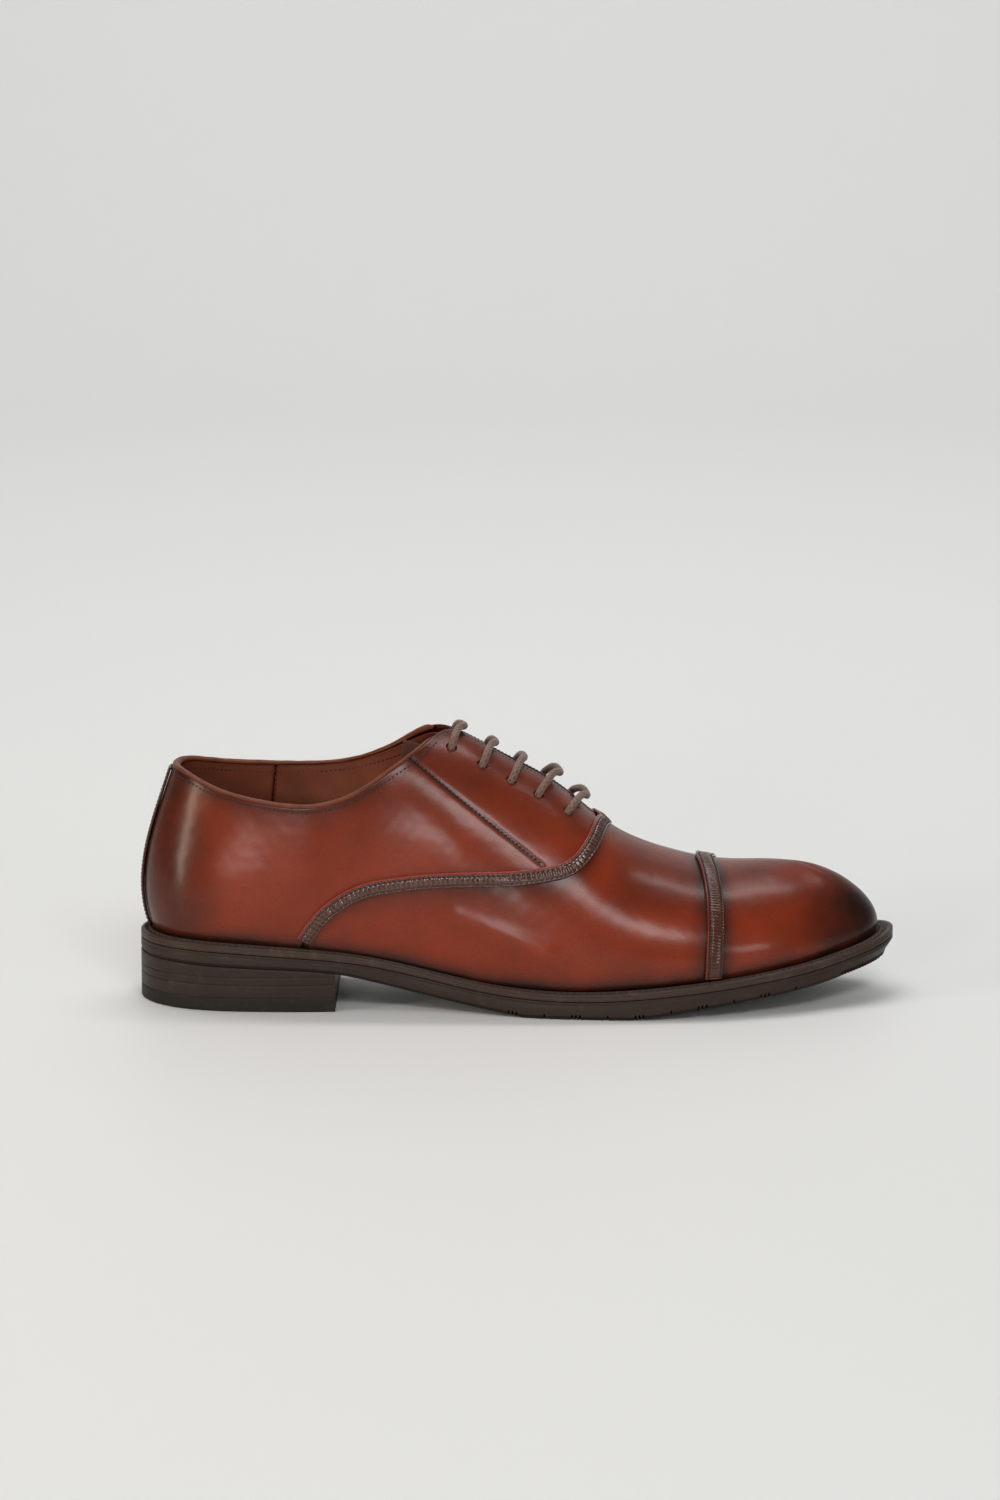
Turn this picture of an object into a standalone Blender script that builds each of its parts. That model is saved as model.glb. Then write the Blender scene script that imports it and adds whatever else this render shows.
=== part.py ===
"""Right-foot cap-toe oxford shoe: sole unit, heel stack, upper, linings, stiffeners, tongue and lace.

Design units are millimetres. +X points to the toe, +Y to the inner (medial) side and +Z up. The origin is on
the floor under the middle of the shoe. Lengths are scaled to metres only when a mesh is made.

The upper is one surface, skin(w, t, depth). w runs round the shoe: 0 at the back of the heel, +1 at the toe
along the outer side and -1 at the toe along the inner side. t runs up it: 0 at the welt, 1 at the top line or
on the ridge. depth is measured along the outward normal, so linings have a negative depth.
"""
import math

import bmesh
import bpy
import numpy as np
from mathutils import Matrix, Vector

MM = 0.001
MERGE = 6e-5  # metres: points of two patches this close are one point

# Sections of the last, from heel to toe:
# feather x, outer y, inner y | top x, outer y, inner y, outer z, inner z |
# outward lean at the welt, lower handle, drop at the top, upper handle (angles in degrees, handles in chords)
SECTIONS = [
    (-147.4, 0.0, 0.0, -138.7, 0.0, 0.0, 94.5, 94.5, 22, 0.36, 72, 0.34),
    (-142.3, 15.2, 15.2, -135.0, 11.5, 11.5, 93.6, 94.6, 20, 0.36, 76, 0.34),
    (-129.1, 25.4, 25.4, -122.5, 20.8, 21.0, 88.4, 92.0, 16, 0.36, 78, 0.34),
    (-106.8, 30.0, 29.5, -103.7, 27.0, 28.0, 83.9, 89.6, 12, 0.36, 82, 0.34),
    (-83.4, 31.0, 29.0, -83.4, 30.5, 32.0, 82.4, 88.3, 10, 0.36, 82, 0.34),
    (-61.0, 30.9, 26.4, -65.1, 29.7, 30.5, 87.2, 90.6, 10, 0.36, 72, 0.34),
    (-40.7, 31.9, 25.4, -49.8, 25.5, 24.5, 97.2, 98.0, 10, 0.38, 52, 0.34),
    (-22.4, 35.0, 27.0, -37.6, 17.0, 16.0, 105.4, 106.6, 10, 0.40, 33, 0.34),
    (-7.1, 38.8, 30.0, -26.4, 2.0, 2.0, 109.3, 109.3, 11, 0.42, 10, 0.30),
    (10.2, 42.7, 34.1, -7.1, 0.0, 0.0, 99.5, 99.5, 12, 0.42, 3, 0.27),
    (30.5, 44.9, 39.6, 15.2, 0.0, 0.0, 87.0, 87.0, 13, 0.42, 0, 0.28),
    (50.8, 45.8, 44.2, 38.6, -0.5, 0.5, 68.6, 68.6, 14, 0.42, 0, 0.32),
    (71.2, 44.0, 45.6, 61.0, -1.0, 1.0, 58.8, 58.8, 15, 0.40, 0, 0.37),
    (93.5, 38.3, 42.2, 82.3, -1.8, 1.8, 54.5, 54.5, 15, 0.38, 0, 0.38),
    (113.9, 29.3, 35.4, 97.6, -2.6, 2.6, 54.4, 54.4, 15, 0.34, 0, 0.38),
    (132.2, 16.6, 24.6, 106.8, -3.0, 3.0, 54.2, 54.2, 14, 0.31, 0, 0.36),
    (142.6, 7.4, 15.4, 111.0, -3.2, 3.2, 54.0, 54.0, 13, 0.30, 0, 0.35),
    (146.0, -4.0, 4.0, 112.0, -3.2, 3.2, 53.9, 53.9, 13, 0.30, 0, 0.35),
]
FACING_TOP = 8  # the section where the two facings meet at the ankle
RIDGE_BEHIND = [(-90.0, 146.0), (-60.0, 129.0)]  # the ridge line carried on, to keep its slope smooth

# Heights along the shoe (x, z)
WELT_TOP = [(-152.5, 27.6), (-122, 27.0), (-91.5, 25.2), (-66.1, 22.6), (-40.7, 17.6), (-15.2, 12.6),
            (10.2, 10.4), (35.6, 10.6), (55.9, 12.2), (81.3, 14.6), (106.8, 17.6), (132.2, 21.8),
            (152.5, 27.5)]
OUTSOLE_BOTTOM = [(-152.5, 19.2), (-100, 17.2), (-71, 14.8), (-49.5, 9.8), (-28, 5.0), (-6, 1.2), (6, -0.3),
                  (24, -0.6), (42, -0.2), (56, 1.4), (70, 3.4), (96, 6.8), (117, 9.6), (131, 11.8),
                  (152.5, 16.0)]
# How far the sole edge stands out from the feather line (x, mm)
SOLE_MARGIN = [(-152.5, 5.1), (-120, 4.8), (-85, 4.0), (-45, 2.8), (-10, 3.4), (40, 4.3), (90, 4.5),
               (125, 5.2), (146, 6.5)]

GAP = 0.3  # between pieces that touch
WELT_THICK = 3.0
WELT_INNER = -5.0  # from the feather line to the welt's inner edge
INSOLE_INSET = -5.7
INSOLE_THICK = 2.4
SOCK_THICK = 1.0
SHANK_TOP, SHANK_THICK, SHANK_HALF = -0.9, 1.5, 7.5  # top from the welt's top
SHANK_X = (-101.0, -21.0)
CORK_BACK_X, SEAT_FRONT_X = -18.0, -104.0
HEEL_BREAST_X = -73.0
HEEL_LAYER_TOPS = (5.2, 10.4, 13.6)  # top piece and two lifts; a wedge lift fills up to the outsole

# Depths of the layers of the upper, outer face and thickness
TRIM_DEPTH, TRIM_THICK = 1.4, 1.0
UPPER_DEPTH, UPPER_THICK = 0.0, 1.4
STIFFENER_DEPTH, STIFFENER_THICK, PUFF_THICK = -1.9, 0.9, 0.8
COUNTER_DEPTH = -2.0
LINING_DEPTH, LINING_THICK = -3.4, 0.9
STAY_DEPTH, STAY_THICK = -2.2, 0.8
STAY_W, STAY_T = (-0.012, 0.150), (0.69, 0.965)  # its reach from the top of the facings, and up the side
EYELET_DEPTHS = (-6.4, -5.7, -5.6, -5.6, -5.9)
LACE_INNER_DEPTH = -7.7

# Seam between the vamp and the quarters, on both sides, from the sole up to the throat (x, z), and the throat
SEAM = [(-86.8, 25.4), (-83.2, 31.4), (-78.2, 38.0), (-71.2, 43.8), (-61.4, 48.8), (-50.4, 51.2),
        (-36.2, 53.3), (-15.7, 54.6), (1.8, 55.4), (11.0, 56.6), (19.6, 58.4), (26.0, 62.4),
        (31.0, 68.2), (33.4, 71.2)]
THROAT_X = 35.6
SEAM_STEPS = 33  # points read from the seam's smooth curve
SEAM_SHIFT_W, SEAM_SHIFT_T = 0.0012, 0.004  # half the gap at the seam, along w and t
BAND_HALF = 2.6
CAP_LINE = [(0.0, 77.7), (0.5, 78.7), (1.0, 75.3)]  # t, x of the cap seam
TRIM_HALF = 3.5
TOE_CROWD = 1.5  # columns stand closer together towards the tip of the toe
LINING_SEAM = [(0.0, -8.0), (0.5, 6.0), (0.75, 26.5), (1.0, 37.5)]  # t, x where the linings meet
LINING_SEAM_GAP = 1.3
GRIP_X = -101.0
BACK_GAP_W = 0.0012
BACK_STRIP_HALF_W = 0.0125
FACING_EDGE_T = 0.984
COUNTER_FRONT_X = -92.0

# Lacing
EYELET_X = (-26.4, -14.0, -2.5, 8.5, 20.3)
EYELET_Y = (13.7, 16.4, 17.0, 17.5, 18.0)
EYELET_HOLE_R = 2.1
EYELET_RING_R, EYELET_WIRE_R = 2.75, 0.4
LACE_R = 1.45
LACE_TIGHT = 2.3  # height of a tight bar's centre over the leather
LACE_OVER = (2.3, 2.4, 2.5, 4.4, 3.7)  # height of each bar's centre over the ridge; the last two are loose
LACE_LEAN = (4.1, 4.1, 4.1, 6.2, 5.4)  # how far towards the toe each bar leans on its way over
TAIL_RUNS_T = (0.700, 0.647, 0.594)
TAIL_BACK_X, TAIL_FRONT_X = -20.0, 27.0
TAIL_LAST_DIP = 0.03  # the last run drifts away from the others by this much in t
TAIL_LAST_SHORTER = 19.0  # the last run stops short, to leave room for the aglet
AGLET_LENGTH, AGLET_R = 13.0, 1.3

# Tongue: spine of its upper face (x, z) and how sharply it arches (x, z drop per y squared)
TONGUE_SPINE = [(-46, 104.2), (-36, 101.6), (-25, 96.8), (-15, 91.1), (-4.6, 85.2), (5, 79.8), (14, 73.9),
                (20, 70.2), (26, 67.6), (31, 66.4)]
TONGUE_ARCH = [(-46, 0.051), (-25, 0.068), (-4, 0.055), (5, 0.045), (14, 0.034), (24, 0.026), (31, 0.022)]
TONGUE_HALF = [(-46, 18.5), (-36, 20.0), (-10, 18.5), (10, 14.5), (31, 10.0)]
TONGUE_THICK, TONGUE_LINING_THICK = 1.2, 0.8
TONGUE_HINGE = (32.0, 0.0, 66.0)

BALL_HINGE = (52.0, 0.0, 8.0)
NAILS = ((-134.0, 0.0), (-113.0, -19.0), (-113.0, 19.0), (-88.0, 0.0))
NAIL_R, NAIL_HOLE_R = 1.0, 1.4
NAIL_LOW, NAIL_HIGH = 2.2, 13.4


# ---------------------------------------------------------------- curves and the surface of the upper

def natural_spline(points):
    """A smooth curve y(x) through the points."""
    xs, ys = (np.array(v, float) for v in zip(*points))
    n = len(xs)
    h = np.diff(xs)
    rows = np.eye(n)
    right = np.zeros(n)
    for i in range(1, n - 1):
        rows[i, i - 1:i + 2] = h[i - 1], 2 * (h[i - 1] + h[i]), h[i]
        right[i] = 6 * ((ys[i + 1] - ys[i]) / h[i] - (ys[i] - ys[i - 1]) / h[i - 1])
    bend = np.linalg.solve(rows, right)

    def curve(x):
        x = np.clip(x, xs[0], xs[-1])
        i = np.clip(np.searchsorted(xs, x, side="right") - 1, 0, n - 2)
        after, before, width = x - xs[i], xs[i + 1] - x, h[i]
        cubic = (bend[i] * before ** 3 + bend[i + 1] * after ** 3) / (6 * width)
        line = (ys[i] / width - bend[i] * width / 6) * before
        return cubic + line + (ys[i + 1] / width - bend[i + 1] * width / 6) * after

    return curve


def closed_spline(knots, values, period):
    """A smooth closed curve through rows of values, repeating after the period."""
    knots, values = np.asarray(knots, float), np.asarray(values, float)
    n = len(knots)
    h = np.diff(np.append(knots, knots[0] + period))
    before_h = np.roll(h, 1)
    following, previous = np.roll(values, -1, 0), np.roll(values, 1, 0)
    rows = np.zeros((n, n))
    for i in range(n):
        rows[i, (i - 1) % n] += before_h[i]
        rows[i, i] += 2 * (before_h[i] + h[i])
        rows[i, (i + 1) % n] += h[i]
    right = 6 * ((following - values) / h[:, None] - (values - previous) / before_h[:, None])
    bend = np.linalg.solve(rows, right)

    def curve(w):
        w = np.mod(np.asarray(w, float) - knots[0], period) + knots[0]
        i = np.clip(np.searchsorted(knots, w, side="right") - 1, 0, n - 1)
        j = (i + 1) % n
        width = h[i][..., None]
        after = (w - knots[i])[..., None]
        before = width - after
        cubic = (bend[i] * before ** 3 + bend[j] * after ** 3) / (6 * width)
        line = (values[i] / width - bend[i] * width / 6) * before
        return cubic + line + (values[j] / width - bend[j] * width / 6) * after

    return curve


def side_rows(outer):
    """The sections of one side as rows: feather x, y, top x, y, z and the four shape numbers."""
    sign, y0, y1, z = (-1, 1, 4, 6) if outer else (1, 2, 5, 7)
    return [np.array([r[0], sign * r[y0], r[3], sign * r[y1], r[z], *r[8:]]) for r in SECTIONS]


def section_places(outer, inner):
    """How far round the shoe each section stands, from 0 at the heel to 1 at the toe."""
    places = [0.0]
    for i in range(1, len(outer)):
        feather = sum(math.dist(s[i - 1][:2], s[i][:2]) for s in (outer, inner)) / 2
        top = sum(math.dist(s[i - 1][2:5], s[i][2:5]) for s in (outer, inner)) / 2
        places.append(places[-1] + feather + 0.6 * top)
    return np.array(places) / places[-1]


OUTER_ROWS, INNER_ROWS = side_rows(True), side_rows(False)
PLACES = section_places(OUTER_ROWS, INNER_ROWS)
LOOP_PLACES = list(PLACES) + [2 - p for p in PLACES[-2:0:-1]]
last_loop = closed_spline(LOOP_PLACES, OUTER_ROWS + INNER_ROWS[-2:0:-1], 2.0)
welt_top = natural_spline(WELT_TOP)
outsole_curve = natural_spline(OUTSOLE_BOTTOM)
sole_margin = natural_spline(SOLE_MARGIN)
ridge = natural_spline(RIDGE_BEHIND + [(r[3], r[6]) for r in SECTIONS[FACING_TOP:]])
cap_line = natural_spline(CAP_LINE)
lining_seam = natural_spline(LINING_SEAM)


def smooth(x):
    x = np.clip(x, 0, 1)
    return x * x * (3 - 2 * x)


def plan_out(w):
    """Outward direction of the feather line, seen from above."""
    step = last_loop(w + 1e-3) - last_loop(w - 1e-3)
    along = step[..., :2] / np.linalg.norm(step[..., :2], axis=-1, keepdims=True)
    return np.stack([along[..., 1], -along[..., 0]], -1)


def base(w, t):
    """The surface itself: a cubic arch from the feather line to the top in each section."""
    w, t = np.broadcast_arrays(np.asarray(w, float), np.asarray(t, float))
    x0, y0, x1, y1, z1, lean, low, drop, high = np.moveaxis(last_loop(w), -1, 0)
    start = np.stack([x0, y0, welt_top(x0) + GAP], -1)
    end = np.stack([x1, y1, z1], -1)
    up = np.array([0.0, 0.0, 1.0])
    chord = np.linalg.norm(end - start, axis=-1)[..., None]
    lean, drop = np.radians(lean)[..., None], np.radians(drop)[..., None]
    out = np.concatenate([plan_out(w), np.zeros(w.shape + (1,))], -1)
    rise = low[..., None] * chord * (np.sin(lean) * out + np.cos(lean) * up)
    across = (start - end) * np.array([1.0, 1.0, 0.0])
    across /= np.linalg.norm(across, axis=-1, keepdims=True)
    on_ridge = (np.abs(np.mod(w + 1, 2) - 1) - PLACES[FACING_TOP - 3]) \
        / (PLACES[FACING_TOP + 1] - PLACES[FACING_TOP - 3])
    slope = (ridge(x1 + 1) - ridge(x1 - 1)) / 2 * smooth(on_ridge)
    fall = across * np.cos(drop) + (slope[..., None] * across[..., :1] - np.sin(drop)) * up
    t = t[..., None]
    return (1 - t) ** 3 * start + 3 * (1 - t) ** 2 * t * (start + rise) \
        + 3 * (1 - t) * t ** 2 * (end + high[..., None] * chord * fall) + t ** 3 * end


def side_normal(w, t):
    e = 1e-4
    t = np.clip(t, 0.0, 0.985)
    n = np.cross(base(w + e, t) - base(w - e, t), base(w, t + e) - base(w, t - e))
    return n / np.linalg.norm(n, axis=-1, keepdims=True)


def normal(w, t):
    """Outward normal, shared by the two sides where they meet on the ridge."""
    n = side_normal(w, t)
    shared = (t > 0.999) & (np.abs(w) > PLACES[FACING_TOP + 1])
    both = n + side_normal(-w, t)
    both /= np.linalg.norm(both, axis=-1, keepdims=True)
    return np.where(shared[..., None], both, n)


def skin(w, t, depth=0.0):
    w, t, depth = np.broadcast_arrays(*(np.asarray(v, float) for v in (w, t, depth)))
    return base(w, t) + depth[..., None] * normal(w, t)


def find_w(x, t, side):
    """w of the surface point at this x and t; side is +1 for the outer side and -1 for the inner."""
    x, t = np.broadcast_arrays(np.asarray(x, float), np.asarray(t, float))
    low, high = np.zeros(x.shape), np.ones(x.shape)
    for _ in range(30):
        middle = (low + high) / 2
        behind = base(side * middle, t)[..., 0] < x
        low, high = np.where(behind, middle, low), np.where(behind, high, middle)
    return side * (low + high) / 2


def locate(x, value, axis, side):
    """w and t of the surface point at x with this height (axis 2) or distance from the middle (axis 1)."""
    x, value = np.broadcast_arrays(np.asarray(x, float), np.asarray(value, float))
    low, high = np.zeros(x.shape), np.ones(x.shape)
    for _ in range(26):
        t = (low + high) / 2
        p = base(find_w(x, t, side), t)
        under = p[..., 2] < value if axis == 2 else np.abs(p[..., 1]) > value
        low, high = np.where(under, t, low), np.where(under, high, t)
    t = (low + high) / 2
    return find_w(x, t, side), t


def seam_curve(side):
    """(w, t) of the vamp seam as functions of s, from 0 at the sole to 1 on the ridge at the throat."""
    chord = np.append(0, np.cumsum([math.dist(a, b) for a, b in zip(SEAM, SEAM[1:])]))
    x_along, z_along = (natural_spline(list(zip(chord, v))) for v in zip(*SEAM))
    steps = np.linspace(0, chord[-1], SEAM_STEPS)
    w, t = locate(x_along(steps), z_along(steps), 2, side)
    w, t = np.append(w, find_w(THROAT_X, 1.0, side)), np.append(t, 1.0)
    t[0] = 0.0
    w[0] = find_w(SEAM[0][0], 0.0, side)
    points = base(w, t)
    s = np.append(0, np.cumsum(np.linalg.norm(np.diff(points, axis=0), axis=1)))
    s /= s[-1]
    return natural_spline(list(zip(s, w))), natural_spline(list(zip(s, t)))


SEAMS = {side: seam_curve(side) for side in (1, -1)}


def seam_t(w, side, shift_w, shift_t):
    """t of the vamp seam above or below w, moved by half the gap between the pieces."""
    s = np.linspace(0, 1, 241)
    curve_w, curve_t = SEAMS[side]
    order = np.abs(curve_w(s))
    return np.interp(np.abs(w) + shift_w, order, np.clip(curve_t(s), 0, 1)) + shift_t


# ---------------------------------------------------------------- Blender helpers

def clear_scene():
    for obj in list(bpy.data.objects):
        bpy.data.objects.remove(obj, do_unlink=True)


def new_collection(name):
    made = bpy.data.collections.new(name)
    bpy.context.scene.collection.children.link(made)
    return made


clear_scene()
SHOE = new_collection("leather_oxford_shoe")
CUTTERS = new_collection("cutters")
CUTTERS.hide_render = True


def material(name, color, roughness, metallic=0.0):
    made = bpy.data.materials.new(name)
    made.use_nodes = True
    shader = made.node_tree.nodes["Principled BSDF"]
    shader.inputs["Base Color"].default_value = (*color, 1.0)
    shader.inputs["Roughness"].default_value = roughness
    shader.inputs["Metallic"].default_value = metallic
    return made


UPPER_LEATHER = ((0.20, 0.035, 0.016), 0.35)
TRIM_LEATHER = ((0.045, 0.018, 0.012), 0.45)
LINING_LEATHER = ((0.11, 0.033, 0.018), 0.7)
SOLE_LEATHER = ((0.036, 0.024, 0.020), 0.5)
SOLE_RUBBER = ((0.032, 0.022, 0.018), 0.6)
HEEL_RUBBER = ((0.02, 0.018, 0.017), 0.7)
INSOLE_LEATHER = ((0.30, 0.19, 0.11), 0.8)
CORK = ((0.28, 0.16, 0.08), 0.95)
SEAT_LEATHER = ((0.22, 0.13, 0.08), 0.95)
COUNTER_BOARD = ((0.25, 0.17, 0.10), 0.9)
STIFFENER_CLOTH = ((0.52, 0.47, 0.40), 0.9)
BINDING_LEATHER = ((0.20, 0.055, 0.03), 0.5)
SHANK_STEEL = ((0.45, 0.45, 0.47), 0.4, 1.0)
NAIL_STEEL = ((0.5, 0.5, 0.52), 0.4, 1.0)
EYELET_BRASS = ((0.55, 0.42, 0.2), 0.35, 1.0)
LACE_CORD = ((0.13, 0.07, 0.05), 0.6)
AGLET_PLASTIC = ((0.10, 0.06, 0.045), 0.35)


def add_object(name, mesh, finish, collection=SHOE):
    obj = bpy.data.objects.new(name, mesh)
    collection.objects.link(obj)
    mesh.shade_smooth()
    mesh.set_sharp_from_angle(angle=math.radians(40))
    if finish is not None:
        mesh.materials.append(material(name, *finish))
    return obj


def mesh_of(name, points, faces, closed):
    """A mesh from points in millimetres, with coincident points made one."""
    bm = bmesh.new()
    verts = [bm.verts.new(Vector(p) * MM) for p in points]
    for face in faces:
        bm.faces.new([verts[i] for i in face])
    bmesh.ops.remove_doubles(bm, verts=bm.verts, dist=MERGE)
    bmesh.ops.dissolve_degenerate(bm, dist=MERGE, edges=bm.edges)
    if closed:
        bmesh.ops.recalc_face_normals(bm, faces=bm.faces)
    mesh = bpy.data.meshes.new(name)
    bm.to_mesh(mesh)
    bm.free()
    return mesh


def grid_faces(rows, columns, first=0):
    """Quads of a grid of points whose rows run along w, facing outwards."""
    at = lambda i, j: first + i * columns + j
    return [(at(i, j), at(i + 1, j), at(i + 1, j + 1), at(i, j + 1))
            for i in range(rows - 1) for j in range(columns - 1)]


def sheet(name, patches, thickness, finish):
    """A leather piece: open patches of points, merged where they meet, thickened inwards with Solidify."""
    points, faces = [], []
    for patch in patches:
        faces += grid_faces(patch.shape[0], patch.shape[1], len(points))
        points += patch.reshape(-1, 3).tolist()
    obj = add_object(name, mesh_of(name, points, faces, closed=False), finish)
    solidify = obj.modifiers.new("thickness", "SOLIDIFY")
    solidify.thickness = thickness * MM
    solidify.offset = -1
    solidify.use_even_offset = True
    solidify.use_quality_normals = True
    return obj


def cut(obj, cutter):
    boolean = obj.modifiers.new("holes", "BOOLEAN")
    boolean.operation = "DIFFERENCE"
    boolean.solver = "EXACT"
    boolean.object = cutter


def rods(name, ends, radius, segments=12):
    """One cutter or pin mesh of round rods between pairs of points."""
    bm = bmesh.new()
    for low, high in ends:
        low, high = Vector(low) * MM, Vector(high) * MM
        turn = (high - low).to_track_quat("Z", "Y").to_matrix().to_4x4()
        place = Matrix.Translation((low + high) / 2) @ turn
        bmesh.ops.create_cone(bm, cap_ends=True, segments=segments, radius1=radius * MM, radius2=radius * MM,
                              depth=(high - low).length, matrix=place)
    mesh = bpy.data.meshes.new(name)
    bm.to_mesh(mesh)
    bm.free()
    return mesh


def cutter(name, ends, radius, segments=12):
    obj = add_object(name, rods(name, ends, radius, segments), None, CUTTERS)
    obj.hide_render = True
    obj.display_type = "WIRE"
    return obj


# ---------------------------------------------------------------- sole unit

def plan_point(w, margin):
    """A point of the feather line moved outwards by the margin, as x and y."""
    w = np.asarray(w, float)
    return last_loop(w)[..., :2] + np.broadcast_to(margin, w.shape)[..., None] * plan_out(w)


def sole_edge(w):
    return plan_point(w, sole_margin(last_loop(w)[..., 0]))


def outsole_bottom(x):
    return np.maximum(outsole_curve(x), 0.0)


def outsole_top(x):
    return welt_top(x) - WELT_THICK - GAP


def plate(name, places, edge, top, bottom, finish):
    """A slab across the shoe between two heights, its outline read from the edge function."""
    places = np.asarray(places, float)
    points = []
    for side in (1, -1):
        plan = edge(side * places)
        for height in (top, bottom):
            z = height(plan[:, 0]) if callable(height) else np.full(len(plan), height)
            points += np.column_stack([plan, z]).tolist()
    n = len(places)
    outer_top, outer_low, inner_top, inner_low = (k * n for k in range(4))
    faces = []
    for i in range(n - 1):
        for a, b in ((outer_top, inner_top), (inner_low, outer_low), (outer_low, outer_top),
                     (inner_top, inner_low)):
            faces.append((a + i, a + i + 1, b + i + 1, b + i))
    for i in (0, n - 1):
        if 0 < places[i] < 1:
            faces.append([k + i for k in (outer_top, inner_top, inner_low, outer_low)])
    return add_object(name, mesh_of(name, points, faces, closed=True), finish)


def loop_ring(name, places, profile, finish):
    """A closed ring round the shoe whose section is a list of functions of w, each giving points."""
    rings = [corner(places) for corner in profile]
    n, m = len(places), len(rings)
    points = np.concatenate(rings).tolist()
    faces = []
    for k in range(m):
        for i in range(n):
            a, b = k * n, (k + 1) % m * n
            faces.append((a + i, a + (i + 1) % n, b + (i + 1) % n, b + i))
    return add_object(name, mesh_of(name, points, faces, closed=True), finish)


def with_height(edge, height, drop=0.0):
    def corner(w):
        plan = edge(w)
        return np.column_stack([plan, height(plan[:, 0]) - drop])
    return corner


def heel_place(x):
    """Place round the shoe where the feather line reaches this x."""
    return float(find_w(x, 0.0, 1))


WHOLE_SOLE = np.concatenate([[0, 0.010, 0.024], np.linspace(0.046, 0.93, 27), [0.955, 0.975, 0.99, 1.0]])


def welt_inner_edge(w):
    return plan_point(w, WELT_INNER)


def inset(w):
    return plan_point(w, INSOLE_INSET)


def shank_edge(w):
    return np.column_stack([last_loop(w)[:, 0], -SHANK_HALF * np.sign(w)])


def raised(rise):
    """A height this far above the welt's top, as a function of x."""
    def height(x):
        return welt_top(x) + rise
    return height


def under_outsole(x):
    return outsole_bottom(x) - GAP


def build_sole():
    plate("outsole", WHOLE_SOLE, sole_edge, outsole_top, outsole_bottom, SOLE_RUBBER)
    ring = np.concatenate([-WHOLE_SOLE[:0:-1], WHOLE_SOLE[:-1]])
    corners = [with_height(sole_edge, welt_top), with_height(welt_inner_edge, welt_top),
               with_height(welt_inner_edge, welt_top, WELT_THICK), with_height(sole_edge, welt_top, WELT_THICK)]
    loop_ring("welt", ring, corners, SOLE_LEATHER)
    inner_places = np.concatenate([[0, 0.02, 0.045], np.linspace(0.09, 0.91, 16), [0.94, 0.96, 0.98, 1.0]])
    plate("insole", inner_places, inset, raised(INSOLE_THICK), raised(0.0), INSOLE_LEATHER)
    sock_low = INSOLE_THICK + GAP
    plate("sock_liner", inner_places, inset, raised(sock_low + SOCK_THICK), raised(sock_low), LINING_LEATHER)
    fill_top, fill_low = raised(-GAP), raised(-WELT_THICK)
    front, back = heel_place(CORK_BACK_X), heel_place(SEAT_FRONT_X)
    cork_places = np.concatenate([np.linspace(front, 0.91, 10), [0.94, 0.96, 0.98, 1.0]])
    plate("cork_filler", cork_places, inset, fill_top, fill_low, CORK)
    seat_places = np.concatenate([[0, 0.02, 0.045, 0.07], np.linspace(0.1, back, 3)])
    plate("heel_seat_filler", seat_places, inset, fill_top, fill_low, SEAT_LEATHER)
    shank_places = np.linspace(heel_place(SHANK_X[0]), heel_place(SHANK_X[1]), 8)
    plate("shank", shank_places, shank_edge, raised(SHANK_TOP), raised(SHANK_TOP - SHANK_THICK), SHANK_STEEL)


def build_heel():
    places = np.concatenate([WHOLE_SOLE[WHOLE_SOLE < heel_place(HEEL_BREAST_X) - 0.01],
                             [heel_place(HEEL_BREAST_X)]])
    top_piece, lower, middle = HEEL_LAYER_TOPS
    layers = [plate("heel_top_piece", places, sole_edge, top_piece, 0.0, HEEL_RUBBER),
              plate("heel_lift_1", places, sole_edge, lower, top_piece + GAP, SOLE_LEATHER),
              plate("heel_lift_2", places, sole_edge, middle, lower + GAP, SOLE_LEATHER),
              plate("heel_lift_3", places, sole_edge, under_outsole, middle + GAP, SOLE_LEATHER)]
    hole_low, hole_high = NAIL_LOW - 0.4, NAIL_HIGH + 15.0
    holes = cutter("nail_holes", [((x, y, hole_low), (x, y, hole_high)) for x, y in NAILS], NAIL_HOLE_R, 10)
    for layer in layers[:3]:
        cut(layer, holes)
    for i, (x, y) in enumerate(NAILS, 1):
        nail = rods("nail", [((x, y, NAIL_LOW), (x, y, NAIL_HIGH))], NAIL_R, 10)
        add_object(f"heel_nail_{i}", nail, NAIL_STEEL)


# ---------------------------------------------------------------- upper

def columns(ws, t_low, t_high, rows, depth):
    """Points of a patch whose columns stand at ws, between two t limits, with a depth or a depth function."""
    ws = np.asarray(ws, float)
    share = np.linspace(0, 1, rows)[None, :]
    low = np.broadcast_to(t_low, ws.shape)[:, None]
    t = low + (np.broadcast_to(t_high, ws.shape)[:, None] - low) * share
    w = np.broadcast_to(ws[:, None], t.shape)
    return skin(w, t, depth(w, t) if callable(depth) else depth)


def across_seam(start, end, t_rows, steps, depth, crowd=1.0):
    """Points of a patch between two boundaries w(t), one row for each t, crowded towards the end."""
    share = 1 - np.linspace(1, 0, steps)[:, None] ** crowd
    w = start[None, :] + (end - start)[None, :] * share
    t = np.broadcast_to(t_rows[None, :], w.shape)
    return skin(w, t, depth(w, t) if callable(depth) else depth)


def rising(patch, side):
    """The patch with its columns in the order of rising w, so that it faces outwards."""
    return patch if side > 0 else patch[::-1]


def facing_edge(w):
    """t of the top edge: the top line behind the facings, and just short of the ridge along them."""
    share = smooth((np.abs(w) - PLACES[FACING_TOP]) / 0.02)
    return 1.0 - (1.0 - FACING_EDGE_T) * share


def lining_depth(w, t):
    """Linings lie under the stiffeners, and come up to the leather near the top line."""
    behind = 1 - smooth((np.abs(w) - PLACES[5]) / (PLACES[7] - PLACES[5]))
    return LINING_DEPTH + 1.5 * smooth((t - 0.72) / 0.2) * behind


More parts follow.
